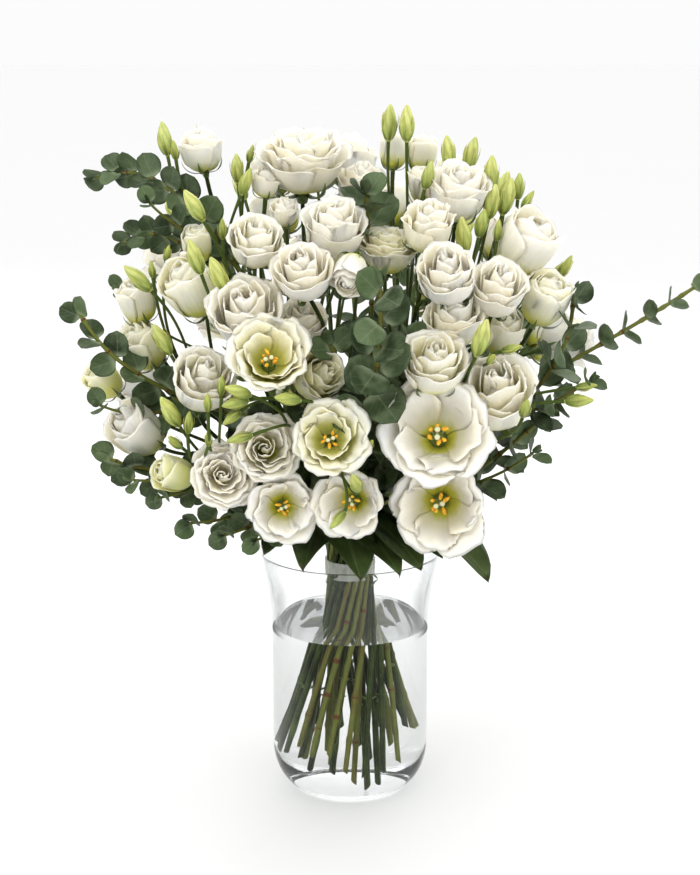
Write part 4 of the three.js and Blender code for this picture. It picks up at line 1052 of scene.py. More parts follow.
def leaf_out(skin, rng, high, leaves, small, leaf):
    """The round leaves of a twig or a side shoot: hollow blades, and two small leaves at the tip."""
    base, axis, normal, length, places = leaves
    many = len(base)
    axis = unit(axis + rng.normal(0, 0.12, (many, 3)))
    width = length * rng.uniform(0.9, 1.04, many)
    cup = rng.uniform(0.04, 0.16, many)
    grid = blades(base + axis * 1.2, axis, normal, length, width, length * rng.uniform(0.02, 0.12, many), cup,
                  round_outline, 10, 9, fold=0.08, wave=0.02, phase=rng.uniform(0, 6, many))
    tone = np.clip((places - places.min()) / (1 - places.min()), 0, 1) * 0.6 + rng.uniform(0, 0.3, many)
    skin.sheets(grid, LEAF_THICKNESS, leaf, tone, rng.uniform(0, 1, many))
    tip, back = bezier(high, np.array([1.0, 0.99]))
    along = unit(tip - back)
    across = basis(along, rng.uniform(0, 3))[0]
    out = np.stack([across, -across])
    small = small * np.array([0.42, 0.36])
    grid = blades(tip, unit(out * 0.35 + along), -out, small, small * 0.6, 0.0, 0.1, round_outline, 8, 7,
                  fold=0.2)
    skin.sheets(grid, LEAF_THICKNESS, leaf, 1.0, rng.uniform(0, 1, 2))


def grow_twig(skin, stem, more, wood, leaf):
    """A eucalyptus twig with its leaves and its side shoots."""
    rng = seeded(stem.name, "twig")
    _, _, bare, size, pairs, turn = stem.twig
    leaves = twig_leaves(stem, stem.high, (bare, size, turn), round(pairs * more))
    share = 1 / STEM_STEPS
    nodes = np.unique(share + (1 - share) * leaves[4])
    lower = np.arange(0.06, nodes[0] - 0.03, 0.075)
    grow_stem(skin, stem, wood, 10, np.append(lower, nodes), 0.7)
    leaf_out(skin, rng, stem.high, leaves, size, leaf)
    for k, (name, t, bow, tip, bare, size, pairs) in enumerate(SIDE_SHOOTS):
        if name != stem.name:
            continue
        start, on = bezier(stem.high, np.array([t, t + 0.01]))
        high = np.array([start, start + unit(on - start) * 18, bow, tip])
        up = np.linspace(0, 1, 40)
        path = bezier(high, up)
        leaves = twig_leaves(stem, high, (bare, size, SHOOT_TURN), round(pairs * more), 50 * k)
        rings = knots(path, np.unique(leaves[4]), 1.6)
        grid = tube_grid(path, 1.5 - 0.5 * up + 0.4 * rings, 7)
        skin.tubes(grid, wood, np.clip(rings, 0, 1)[None], rng.uniform(0, 1))
        leaf_out(skin, rng, high, leaves, size, leaf)


# ------------------------------------------------------------------ the vase, the water and the tape
BEND_STEPS = 14
WALL_STEPS = 8
RIM_STEPS = 6
VASE_SIDES = 128
RIM_THINNING = 1.8  # how much thinner the wall is at the rim
WATER_CLIMB = 0.6  # how far the water rises at the wall
WATER_OVERLAP = 0.3  # how far it reaches into the glass


def vase_wall(sizes, inset, bottom, top):
    """The outline of the vase's outside or inside at a distance in from the outer wall: a quarter of an
    ellipse from the foot to the body, a straight wall, and a flare that opens by a power of the height."""
    foot, body, rim = (x / MM for x in (sizes.foot_radius, sizes.body_radius, sizes.rim_radius))
    corner, start, height = (x / MM for x in (sizes.corner_height, sizes.flare_start, sizes.height))
    a = np.linspace(0, math.pi / 2, BEND_STEPS + 1)
    curve = np.stack([foot + (body - foot) * np.sin(a), bottom + (corner - bottom) * (1 - np.cos(a))], -1)
    curve[:, 0] -= inset
    curve[0, 0] = foot - inset * 0.4
    levels = np.linspace(corner, min(top, start), WALL_STEPS + 1)[1:]
    straight = np.stack([np.full(WALL_STEPS, body - inset), levels], -1)
    if top <= start:
        return np.concatenate([curve, straight])
    share = np.linspace(0, (top - start) / (height - start), BEND_STEPS + 1)[1:]
    flare = np.stack([body + (rim - body) * share**1.8 - inset, start + share * (height - start)], -1)
    return np.concatenate([curve, straight, flare])


def round_in(start, end, around):
    """Points from start to end on the quarter turn about around that goes from one to the other."""
    t = np.linspace(0, math.pi / 2, RIM_STEPS + 1)[:, None]
    return around + (start - around) * np.cos(t) + (end - around) * np.sin(t)


# ------------------------------------------------------------------ materials
GLASS_IOR = 1.48
WATER_IOR = 1.333


def srgb(red, green, blue):
    """A colour given in 0 to 255 as the eye sees it, in linear light."""
    c = np.array([red, green, blue]) / 255
    return tuple(np.where(c <= 0.04045, c / 12.92, ((c + 0.055) / 1.055) ** 2.4))


def opaque(colour):
    """A colour with a full alpha."""
    return (*tuple(colour)[:3], 1.0)


def feed(tree, node, inputs):
    """Plain values set on a node's own inputs, and sockets linked to them."""
    for name, value in inputs.items():
        if isinstance(value, bpy.types.NodeSocket):
            tree.links.new(value, node.inputs[name])
        else:
            node.inputs[name].default_value = value


def place(tree, kind, inputs=None, **settings):
    """A node of a tree with its settings and its inputs."""
    node = tree.nodes.new(kind)
    for name, value in settings.items():
        setattr(node, name, value)
    feed(tree, node, inputs or {})
    return node


def calc(tree, operation, a, b=0.0, c=0.0, clamp=False):
    """A Math node's result."""
    return place(tree, "ShaderNodeMath", {0: a, 1: b, 2: c}, operation=operation, use_clamp=clamp).outputs[0]


def times(tree, a, b):
    """A product."""
    return calc(tree, "MULTIPLY", a, b)


def apart(tree, value, middle):
    """How far a value is from a middle."""
    return calc(tree, "ABSOLUTE", calc(tree, "SUBTRACT", value, middle))


def blend(tree, share, a, b, kind="MIX"):
    """Two colours, plain or from sockets, mixed by a share."""
    a, b = (x if isinstance(x, bpy.types.NodeSocket) else opaque(x) for x in (a, b))
    return place(tree, "ShaderNodeMix", {0: share, 6: a, 7: b}, data_type="RGBA", blend_type=kind).outputs[2]


def coated(tree, colour, *coats):
    """A colour under coats of others, each put on by a mask times an amount."""
    for mask, amount, over, *kind in coats:
        colour = blend(tree, times(tree, mask, amount), colour, over, *kind)
    return colour


def between(tree, value, low, high, to_low=0.0, to_high=1.0):
    """A value from one range in another, eased at both ends and held past them."""
    inputs = {"Value": value, "From Min": low, "From Max": high, "To Min": to_low, "To Max": to_high}
    return place(tree, "ShaderNodeMapRange", inputs, interpolation_type="SMOOTHSTEP").outputs["Result"]


def ramp(tree, value, stops):
    """A colour that goes through stops of (place, colour)."""
    node = place(tree, "ShaderNodeValToRGB", {0: value})
    elements = node.color_ramp.elements
    while len(elements) < len(stops):
        elements.new(0.5)
    for element, (at, colour) in zip(elements, stops):
        element.position = at
        element.color = opaque(colour)
    return node.outputs[0]


def noise(tree, vector, scale, detail):
    """A noise's value."""
    return place(tree, "ShaderNodeTexNoise", {"Vector": vector, "Scale": scale, "Detail": detail}).outputs[0]


def split(tree, vector):
    """The three parts of a vector."""
    return place(tree, "ShaderNodeSeparateXYZ", {0: vector}).outputs


def attributes(tree, *names):
    """The values that each point of a piece holds under these names."""
    return [place(tree, "ShaderNodeAttribute", attribute_name=name).outputs["Fac"] for name in names]


def group(tree, name, inputs, outputs, build):
    """The outputs of a shader node group placed in a tree. It is built once: an input that is given a plain
    number is a number, and one that is given a socket is a vector."""
    made = bpy.data.node_groups.get(name)
    if made is None:
        made = bpy.data.node_groups.new(name, "ShaderNodeTree")
        for label, value in inputs.items():
            kind = "NodeSocketFloat" if isinstance(value, float) else "NodeSocketVector"
            made.interface.new_socket(label, in_out="INPUT", socket_type=kind)
        for label in outputs:
            made.interface.new_socket(label, in_out="OUTPUT", socket_type="NodeSocketFloat")
        given = made.nodes.new("NodeGroupInput").outputs
        result = made.nodes.new("NodeGroupOutput")
        feed(made, result, dict(zip(outputs, build(made, given))))
    return place(tree, "ShaderNodeGroup", inputs, node_tree=made).outputs


def mottle(tree, where, patch_scale, grain_scale):
    """Soft patches and a fine grain over a surface: two noises of the given vector."""
    def build(inner, given):
        soft = noise(inner, given["Vector"], given["Patch Scale"], 3.0)
        return between(inner, soft, 0.32, 0.68), noise(inner, given["Vector"], given["Grain Scale"], 2.0)

    inputs = {"Vector": where, "Patch Scale": patch_scale, "Grain Scale": grain_scale}
    return group(tree, "Mottle", inputs, ("Patches", "Grain"), build)


def fan_veins(tree, uv, count, waver):
    """Veins that run from a blade's base to its rim: a sine across the blade, wavered by a noise."""
    def build(inner, given):
        across = times(inner, split(inner, given["UV"])[0], given["Count"])
        across = calc(inner, "MULTIPLY_ADD", noise(inner, given["UV"], 4.0, 2.0), given["Waver"], across)
        wave = calc(inner, "SINE", times(inner, across, TURN))
        return between(inner, wave, 0.55, 1.0), wave

    return group(tree, "Fan Veins", {"UV": uv, "Count": count, "Waver": waver}, ("Lines", "Height"), build)


def leaf_veins(tree, uv, side_veins, slant, rib_width):
    """A midrib and side veins that leave it at a slant: lines of equal distance from the middle, and of the
    way up less a share of that distance."""
    def build(inner, given):
        across, along, _ = split(inner, given["UV"])
        off = apart(inner, across, 0.5)
        rib = between(inner, off, 0.012, given["Rib Width"], 1.0, 0.0)
        climb = calc(inner, "MULTIPLY_ADD", off, given["Slant"], along)
        climb = calc(inner, "MULTIPLY_ADD", noise(inner, given["UV"], 3.0, 2.0), 0.07, climb)
        step = calc(inner, "FRACT", times(inner, climb, given["Side Veins"]))
        veins = between(inner, apart(inner, step, 0.5), 0.02, 0.08, 1.0, 0.0)
        veins = times(inner, veins, between(inner, off, 0.3, 0.5, 1.0, 0.0))
        return [calc(inner, "MAXIMUM", rib, times(inner, veins, 0.6))]

    inputs = {"UV": uv, "Side Veins": side_veins, "Slant": slant, "Rib Width": rib_width}
    return group(tree, "Leaf Veins", inputs, ["Veins"], build)[0]


def finish(tree, shader, inputs, height=None, strength=0.3, distance=0.0004):
    """The inputs of a Principled shader, and a bump from a height."""
    feed(tree, shader, inputs)
    if height is not None:
        bump = place(tree, "ShaderNodeBump", {"Height": height, "Strength": strength, "Distance": distance})
        feed(tree, shader, {"Normal": bump.outputs[0]})


def petal_material(tree, shader, where, uv, colours):
    """White petals with fine veins: olive and lime in the throat, cream above it, and greener where young."""
    rise, tone, shade = attributes(tree, "rise", "tone", "shade")
    patches, grain = mottle(tree, where, 90.0, 900.0)
    lines, wave = fan_veins(tree, uv, 15.0, 0.9)
    reach = calc(tree, "MULTIPLY_ADD", tone, 0.95, 0.2)
    way = calc(tree, "DIVIDE", calc(tree, "MULTIPLY_ADD", patches, 0.06, rise), reach)
    stops = [(0.12, colours.throat_deep), (0.3, colours.throat_lime), (0.5, colours.petal_cream)]
    throat = ramp(tree, times(tree, way, 0.5), [*stops, (0.82, colours.petal_white)])
    young = times(tree, between(tree, tone, 0.3, 0.8), between(tree, rise, 1.0, 0.3, 0.3, 0.75))
    colour = coated(tree, blend(tree, young, throat, colours.petal_lime),
                    (shade, 0.6, colours.petal_blush, "MULTIPLY"),
                    (lines, 0.07, colours.petal_cream, "MULTIPLY"))
    flesh = {"Subsurface Weight": 0.7, "Subsurface Radius": (1.0, 0.92, 0.7), "Subsurface Scale": 0.0035}
    gloss = {"Roughness": 0.55, "Sheen Weight": 0.08, "Specular IOR Level": 0.3}
    height = calc(tree, "MULTIPLY_ADD", wave, 0.4, grain)
    finish(tree, shader, {"Base Color": colour, **gloss, **flesh}, height, 0.18, 0.0005)


def bud_material(tree, shader, where, uv, colours):
    """Rolled young petals: lime with green streaks along the edges of the roll, paler towards the tip of a
    large bud."""
    rise, tone, shade = attributes(tree, "rise", "tone", "shade")
    patches, grain = mottle(tree, where, 160.0, 1200.0)
    around = times(tree, split(tree, uv)[0], float(BUD_PETALS))
    turn = calc(tree, "MULTIPLY_ADD", calc(tree, "POWER", rise, BUD_ROLL_POWER), BUD_ROLL, around)
    streak = between(tree, apart(tree, calc(tree, "FRACT", turn), 0.35), 0.05, 0.3, 1.0, 0.0)
    pale = blend(tree, between(tree, rise, 0.2, 0.8), colours.bud_green, colours.bud_lime)
    ripe = blend(tree, between(tree, rise, 0.2, 0.8, 0.0, 0.5), colours.bud_lime, colours.petal_lime)
    colour = coated(tree, blend(tree, between(tree, tone, 0.95, 0.5), pale, ripe),
                    (streak, 0.3, colours.bud_green),
                    (patches, 0.25, colours.bud_lime, "MULTIPLY"),
                    (shade, 0.2, colours.petal_cream, "SOFT_LIGHT"))
    flesh = {"Subsurface Weight": 0.3, "Subsurface Scale": 0.002}
    finish(tree, shader, {"Base Color": colour, "Roughness": 0.45, **flesh}, grain, 0.15)


def leaf_material(tree, shader, where, uv, colours):
    """Dark lisianthus leaves with a lighter midrib and side veins; a young leaf is lighter."""
    tone, shade, side = attributes(tree, "tone", "shade", "side")
    patches, grain = mottle(tree, where, 60.0, 900.0)
    veins = leaf_veins(tree, uv, 7.0, -1.3, 0.05)
    colour = coated(tree, blend(tree, patches, colours.leaf_deep, colours.leaf_green),
                    (shade, 0.35, colours.leaf_green),
                    (tone, 0.85, colours.stalk_green),
                    (veins, 0.4, colours.leaf_vein),
                    (calc(tree, "SUBTRACT", 1.0, side), 0.35, colours.leaf_vein))
    gloss = {"Roughness": between(tree, patches, 0.0, 1.0, 0.34, 0.48), "Specular IOR Level": 0.35}
    flesh = {"Subsurface Weight": 0.04, "Subsurface Scale": 0.001}
    height = calc(tree, "MULTIPLY_ADD", veins, -0.8, grain)
    finish(tree, shader, {"Base Color": colour, **gloss, **flesh}, height, 0.35, 0.0006)


def stem_material(tree, shader, where, uv, colours):
    """Green stems with fine ribs along them, lighter on young stalks."""
    tone, shade = attributes(tree, "tone", "shade")
    patches, grain = mottle(tree, where, 45.0, 1000.0)
    lines, wave = fan_veins(tree, uv, 7.0, 0.3)
    colour = coated(tree, blend(tree, patches, colours.stem_dark, colours.stem_green),
                    (tone, 0.8, colours.stalk_green),
                    (lines, 0.25, colours.stalk_green),
                    (shade, 0.25, colours.stem_dark))
    height = calc(tree, "MULTIPLY_ADD", wave, 0.3, grain)
    finish(tree, shader, {"Base Color": colour, "Roughness": 0.42, "Specular IOR Level": 0.12}, height, 0.25)


def twig_material(tree, shader, where, uv, colours):
    """Olive eucalyptus wood with reddish-brown rings at its joints, and a few patches."""
    tone, shade = attributes(tree, "tone", "shade")
    patches, grain = mottle(tree, where, 38.0, 700.0)
    lines, _ = fan_veins(tree, uv, 5.0, 0.5)
    red = times(tree, patches, between(tree, shade, 0.0, 1.0, 0.1, 0.35))
    red = calc(tree, "MAXIMUM", red, between(tree, tone, 0.35, 0.8, 0.0, 0.9))
    colour = coated(tree, blend(tree, red, colours.twig_olive, colours.twig_red),
                    (lines, 0.2, colours.stem_green))
    gloss = {"Roughness": 0.5, "Specular IOR Level": 0.12}
    finish(tree, shader, {"Base Color": colour, **gloss}, grain, 0.3, 0.0005)


def eucalyptus_material(tree, shader, where, uv, colours):
    """Blue-green leaves under a pale waxy bloom in patches, with thin pale veins, and greener where young."""
    rise, tone, shade, side = attributes(tree, "rise", "tone", "shade", "side")
    patches, grain = mottle(tree, where, 70.0, 1000.0)
    veins = leaf_veins(tree, uv, 4.0, -0.9, 0.03)
    colour = blend(tree, shade, colours.eucalyptus_dark, colours.eucalyptus_green)
    bloom = times(tree, patches, between(tree, side, 0.0, 1.0, 0.75, 0.5))
    colour = coated(tree, blend(tree, bloom, colour, colours.eucalyptus_bloom),
                    (tone, 0.25, colours.eucalyptus_green),
                    (veins, 0.13, colours.eucalyptus_vein))
    colour = blend(tree, between(tree, rise, 0.02, 0.3, 0.5, 0.0), colour, colours.eucalyptus_vein)
    gloss = {"Roughness": between(tree, patches, 0.0, 1.0, 0.45, 0.62), "Specular IOR Level": 0.25}
    height = calc(tree, "MULTIPLY_ADD", veins, -0.6, grain)
    finish(tree, shader, {"Base Color": colour, **gloss}, height, 0.3, 0.0005)


def stamen_material(tree, shader, where, uv, colours):
    """Yellow anthers with orange pollen."""
    patches, grain = mottle(tree, where, 500.0, 2500.0)
    colour = blend(tree, patches, colours.anther_yellow, colours.anther_orange)
    finish(tree, shader, {"Base Color": colour, "Roughness": 0.8}, grain, 0.5)


def pistil_material(tree, shader, where, uv, colours):
    """A green ovary and a pale cream stigma, by the tone of each."""
    _, grain = mottle(tree, where, 300.0, 2000.0)
    colour = blend(tree, attributes(tree, "tone")[0], colours.petal_cream, colours.stalk_green)
    finish(tree, shader, {"Base Color": colour, "Roughness": 0.55}, grain)


def clear_material(tree, shader, where, uv, colour, ior, shadow, edge=None, fade=0.0):
    """A clear solid that bends light. Where it is seen at a slant it may take the tint edge, a painted shade
    that greys its outline, or fade from sight. Shadow rays, and light that a matt surface scatters, pass
    straight through it and lose only a little."""
    slant = place(tree, "ShaderNodeLayerWeight", {"Blend": 0.5}).outputs["Facing"]
    feed(tree, shader, {"Base Color": opaque(colour), "Transmission Weight": 1.0, "IOR": ior})
    # Painted shade: where the glass is seen at a slant its tint goes to edge, which greys its outline.
    if edge is not None:
        feed(tree, shader, {"Base Color": blend(tree, between(tree, slant, 0.0, 0.3), colour, edge)})
    patches, grain = mottle(tree, where, 25.0, 60.0)
    finish(tree, shader, {"Roughness": between(tree, patches, 0.0, 1.0, 0.0, 0.012)}, grain, 0.05, 0.0005)
    through = place(tree, "ShaderNodeBsdfTransparent", {"Color": opaque(shadow)})
    ray = tree.nodes.new("ShaderNodeLightPath").outputs
    soft = calc(tree, "MAXIMUM", ray["Is Shadow Ray"], ray["Is Diffuse Ray"])
    if fade:
        soft = calc(tree, "MAXIMUM", soft, between(tree, slant, 0.45, 0.8, 0.0, fade))
    mixed = place(tree, "ShaderNodeMixShader", {0: soft, 1: shader.outputs[0], 2: through.outputs[0]})
    feed(tree, tree.nodes["Material Output"], {"Surface": mixed.outputs[0]})


def unseen_material(tree, shader, where, uv):
    """Nothing to be seen: for the sides of the water, whose bend is that of the wet glass, and for the
    underside of the vase, which the painted glow on the floor brightens."""
    feed(tree, shader, {"Alpha": 0.0})


def tape_material(tree, shader, where, uv, colours):
    """Whitish binding tape, a little see-through, with fine lines round it."""
    patches, grain = mottle(tree, where, 120.0, 1500.0)
    turn = calc(tree, "SINE", times(tree, split(tree, uv)[1], 90.0))
    colour = blend(tree, patches, colours.tape_white, colours.tape_green)
    height = calc(tree, "MULTIPLY_ADD", turn, 0.3, grain)
    clear = {"Transmission Weight": 0.65, "IOR": 1.12}
    finish(tree, shader, {"Base Color": colour, "Roughness": 0.1, **clear}, height, 0.2, 0.0003)


def unmirrored(tree, strength, front):
    """1 for every ray but one that a surface mirrors towards the front, for which the studio is dimmer by
    strength, as behind a flag."""
    ray = tree.nodes.new("ShaderNodeLightPath").outputs
    mirrored = calc(tree, "SUBTRACT", ray["Is Glossy Ray"], ray["Is Transmission Ray"], clamp=True)
    return calc(tree, "MULTIPLY_ADD", times(tree, mirrored, front), -strength, 1.0)


def floor_material(tree, shader, where, uv, colours):
    """A plain pale matt floor with the faintest unevenness. Its colour holds painted shade, darker where a
    surface mirrors the floor in front, as behind a flag, and a painted glow under the vase's foot that stands
    for the light the glass gathers there."""
    patches, _ = mottle(tree, where, 1.2, 40.0)
    colour = blend(tree, times(tree, patches, 0.02), colours.floor_white, colours.tape_white)
    front = between(tree, split(tree, where)[1], 0.1, -0.3)
    # Painted shade: the floor's colour is darker where a surface mirrors the floor in front, as behind a
    # flag.
    colour = blend(tree, unmirrored(tree, 0.8, front), (0, 0, 0), colour)
    # Painted glow: the floor under the vase's foot gives out light, standing for the light that the glass
    # gathers there.
    away = place(tree, "ShaderNodeVectorMath", {0: where}, operation="LENGTH").outputs["Value"]
    strength = between(tree, away, 0.05, 0.036, 0.0, 0.8)
    painted_glow = {"Emission Color": opaque((1, 1, 1)), "Emission Strength": strength}
    finish(tree, shader, {"Base Color": colour, "Roughness": 0.9, "Specular IOR Level": 0.1, **painted_glow})


def material_of(name, fill, *words, **more):
    """The material of a name, made once. Its tree, its Principled shader, and its Object and UV coordinates
    are handed to the function that fills it in."""
    if name not in bpy.data.materials:
        material = bpy.data.materials.new(name)
        material.use_nodes = True
        tree = material.node_tree
        at = tree.nodes.new("ShaderNodeTexCoord").outputs
        fill(tree, tree.nodes["Principled BSDF"], at["Object"], at["UV"], *words, **more)
    return bpy.data.materials[name]


# ------------------------------------------------------------------ what a user would change
def length_property(name, description, default):
    """A length in metres with a unit."""
    return bpy.props.FloatProperty(name=name, description=description, default=default, min=0.0, precision=4,
                                   subtype="DISTANCE", unit="LENGTH")


def colour_property(name, description, *rgb):
    """A colour in linear light, whose default is given in 0 to 255 as the eye sees it."""
    return bpy.props.FloatVectorProperty(name=name, description=description, default=srgb(*rgb), size=3,
                                         min=0.0, max=1.0, subtype="COLOR")


def share_property(name, description, default):
    """A number without a unit."""
    return bpy.props.FloatProperty(name=name, description=description, default=default, min=0.0, max=4.0,
                                   subtype="FACTOR")


class CentrepieceSizes(bpy.types.PropertyGroup):
    """The sizes of the vase, the water and the tape."""

    height: length_property("Vase Height", "From the foot to the rim", VASE_TOP[2])
    rim_radius: length_property("Rim Radius", "Outer radius at the rim", VASE_TOP[0])
    body_radius: length_property("Body Radius", "Outer radius of the straight wall", 0.065)
    foot_radius: length_property("Foot Radius", "Radius of the flat that the vase stands on", 0.039)
    corner_height: length_property("Corner Height", "Height where the rounded corner meets the wall", 0.038)
    flare_start: length_property("Flare Start", "Height above which the wall opens out", 0.138)
    wall: length_property("Wall", "Thickness of the glass", 0.0032)
    floor: length_property("Floor", "Thickness of the glass under the water", 0.007)
    water_level: length_property("Water Level", "Height of the water's surface", WATER_TOP[2])
    tape_low: length_property("Tape Low", "Lower edge of the tape", TAPE_LOW[2])
    tape_high: length_property("Tape High", "Upper edge of the tape", TAPE_TOP[2])
    tape_radius: length_property("Tape Radius", "Outer radius of the tape", TAPE_TOP[0])
    leaf_share: share_property("Leaf Pairs", "Pairs of leaves on a twig, beside its table's number", 1.45)


class CentrepieceColours(bpy.types.PropertyGroup):
    """The colours of the flowers, leaves, stems and stage."""

    petal_white: colour_property("Petal White", "Rim of an open petal", 252, 248, 233)
    petal_cream: colour_property("Petal Cream", "Petal above the throat", 248, 244, 206)
    petal_blush: colour_property("Petal Blush", "Warm shade of some petals", 252, 243, 222)
    petal_lime: colour_property("Petal Lime", "Petal of a closed flower", 228, 230, 150)
    throat_lime: colour_property("Throat Lime", "Upper throat", 208, 208, 76)
    throat_deep: colour_property("Throat Deep", "Bottom of the throat", 136, 138, 20)
    bud_lime: colour_property("Bud Lime", "Light parts of a bud", 172, 182, 94)
    bud_green: colour_property("Bud Green", "Dark streaks of a bud", 104, 122, 46)
    stalk_green: colour_property("Stalk Green", "Young stalks", 94, 114, 48)
    stem_green: colour_property("Stem Green", "Stems", 58, 72, 30)
    stem_dark: colour_property("Stem Dark", "Dark parts of stems", 26, 36, 13)
    leaf_green: colour_property("Leaf Green", "Lit lisianthus leaf", 66, 84, 44)
    leaf_deep: colour_property("Leaf Deep", "Dark lisianthus leaf", 40, 54, 26)
    leaf_vein: colour_property("Leaf Vein", "Midrib of a lisianthus leaf", 106, 122, 76)
    eucalyptus_green: colour_property("Eucalyptus Green", "Green of a eucalyptus leaf", 78, 98, 60)
    eucalyptus_dark: colour_property("Eucalyptus Dark", "Dark eucalyptus leaf", 22, 34, 16)
    eucalyptus_bloom: colour_property("Eucalyptus Bloom", "Waxy bloom", 110, 126, 94)
    eucalyptus_vein: colour_property("Eucalyptus Vein", "Veins of a eucalyptus leaf", 166, 178, 144)
    twig_olive: colour_property("Twig Olive", "Eucalyptus wood", 100, 107, 47)
    twig_red: colour_property("Twig Red", "Reddish joints", 92, 44, 28)
    anther_yellow: colour_property("Anther Yellow", "Light pollen", 242, 196, 50)
    anther_orange: colour_property("Anther Orange", "Dark pollen", 220, 140, 24)
    tape_white: colour_property("Tape White", "Binding tape", 240, 242, 236)
    tape_green: colour_property("Tape Green", "Stems that show through the tape", 214, 220, 200)
    glass: colour_property("Glass", "Tint of the glass", 252, 253, 253)
    glass_wet: colour_property("Wet Glass", "Tint of the glass under water", 249, 249, 249)
    # Painted shade: the wet glass greys towards its outline in this colour.
    glass_edge: colour_property("Glass Edge", "Tint of the wet glass towards its outline", 223, 224, 224)
    water: colour_property("Water", "Tint of the water", 252, 253, 253)
    floor_white: colour_property("Floor White", "Floor", 222, 222, 222)


class CentrepieceStage(bpy.types.PropertyGroup):
    """The camera and the light."""

    eye: bpy.props.FloatVectorProperty(name="Eye", description="Where the camera stands", size=3,
                                       default=(0, -1.413, 0.626), subtype="TRANSLATION", unit="LENGTH")
    pitch: bpy.props.FloatProperty(name="Pitch", description="How far the camera looks down",
                                   default=math.radians(13), subtype="ANGLE", unit="ROTATION")
    lens: bpy.props.FloatProperty(name="Lens", description="Focal length", default=72.99, min=1.0,
                                  subtype="DISTANCE_CAMERA")
    sky: share_property("Sky", "Strength of the light from all round", 1.2)
    key: bpy.props.FloatProperty(name="Key", description="Power of the large soft light", default=16.0,
                                 min=0.0, subtype="POWER", unit="POWER")


# ------------------------------------------------------------------ operators
FLOOR_REACH = 30.0  # metres
FLOOR_DROP = 0.0004  # metres, so that the floor doesn't meet the vase's foot
SEEN_SKY = 0.975  # the sky's brightness to the camera


class CENTREPIECE_OT_vase(bpy.types.Operator):
    """Turn the glass vase, with its thick floor and rounded rim, and its inner face as it bends light under
    water"""

    bl_idname = "centrepiece.vase"
    bl_label = "Turn the Vase"

    def execute(self, context):
        sizes, colours = context.scene.centrepiece_sizes, context.scene.centrepiece_colours
        height, wall, floor = (x / MM for x in (sizes.height, sizes.wall, sizes.floor))
        outside = vase_wall(sizes, 0.0, 0.0, height)
        inside = vase_wall(sizes, wall, floor, height)[::-1]
        inside[:, 0] += RIM_THINNING * smooth(inside[:, 1], 0.75 * height, height)
        lip = (outside[-1, 0] - inside[0, 0]) / 2
        outside[-1, 1] -= lip
        inside[0, 1] -= lip
        crown = np.array([outside[-1, 0] - lip, height])
        middle = crown - (0, lip)
        outer = round_in(outside[-1], crown, middle)
        inner = round_in(crown, inside[0], middle)
        rim = np.concatenate([outer[1:], inner[1:-1]])
        hollow = np.array([[30.0, 0.0], [20.0, 0.5], [8.0, 0.9]])[::-1]
        level = sizes.water_level / MM + WATER_CLIMB
        wet = np.searchsorted(-inside[:, 1], -level)
        above, below = inside[wet - 1 : wet + 1]
        share = (above[1] - level) / (above[1] - below[1])
        inside = np.insert(inside, wet, above * (1 - share) + below * share, axis=0)
        outline = np.concatenate([hollow, outside, rim, inside, [[20.0, floor + 0.3], [6.0, floor + 0.5]]])
        # The outer wall under water is 0, the wetted inner face 1, the underside 2 and the dry glass 3.
        band = np.arange(len(outline) - 1)
        wetted = band >= len(hollow) + len(outside) + len(rim) + wet
        bands = np.select([wetted, band < len(hollow), outline[1:, 1] > level], [1, 2, 3], 0)
        skin = Skin()
        ends = np.array([[[0, 0, 1.0], [0, 0, floor + 0.5]]])
        skin.tubes(turned_grid(outline, VASE_SIDES), bands, ends=ends)
        shadow = (0.93, 0.94, 0.94)
        bend = GLASS_IOR / WATER_IOR
        wears = [
            material_of("Clear Glass", clear_material, colours.glass, GLASS_IOR, shadow),
            # The wet glass takes painted shade towards its outline, from the glass edge colour.
            material_of("Wet Glass", clear_material, colours.glass_wet, bend, shadow, colours.glass_edge),
            material_of("Glass Underside", unseen_material),
            material_of("Dry Glass", clear_material, colours.glass, GLASS_IOR, shadow, fade=0.75),
        ]
        skin.piece("glass_vase", wears, "clear_glass", ["vase"])
        return {"FINISHED"}


class CENTREPIECE_OT_water(bpy.types.Operator):
    """Fill the vase with water that reaches a little into the inner wall and rises to it at the surface"""

    bl_idname = "centrepiece.water"
    bl_label = "Fill the Vase"

    def execute(self, context):
        sizes, colours = context.scene.centrepiece_sizes, context.scene.centrepiece_colours
        wall, floor, level = (x / MM for x in (sizes.wall, sizes.floor, sizes.water_level))
        bottom = floor - WATER_OVERLAP
        edge = vase_wall(sizes, wall - WATER_OVERLAP, bottom, level + WATER_CLIMB)
        rim = edge[-1, 0]
        surface = np.array([[rim - 0.9, level + 0.5], [rim - 1.8, level + 0.1], [rim - 3.2, level - 0.15]])
        flat = np.array([[rim * 0.6, level - 0.2], [rim * 0.25, level - 0.2]])
        outline = np.concatenate([[[10.0, bottom]], edge, surface, flat])
        bands = (np.arange(len(outline) - 1) < len(edge)).astype(int)
        skin = Skin()
        ends = np.array([[[0, 0, bottom], [0, 0, level - 0.2]]])
        skin.tubes(turned_grid(outline, VASE_SIDES), bands, ends=ends)
        wears = [
            material_of("Still Water", clear_material, colours.water, WATER_IOR, (0.96, 0.97, 0.97)),
            material_of("Water Edge", unseen_material),
        ]
        skin.piece("still_water", wears, "water", ["water"])
        return {"FINISHED"}


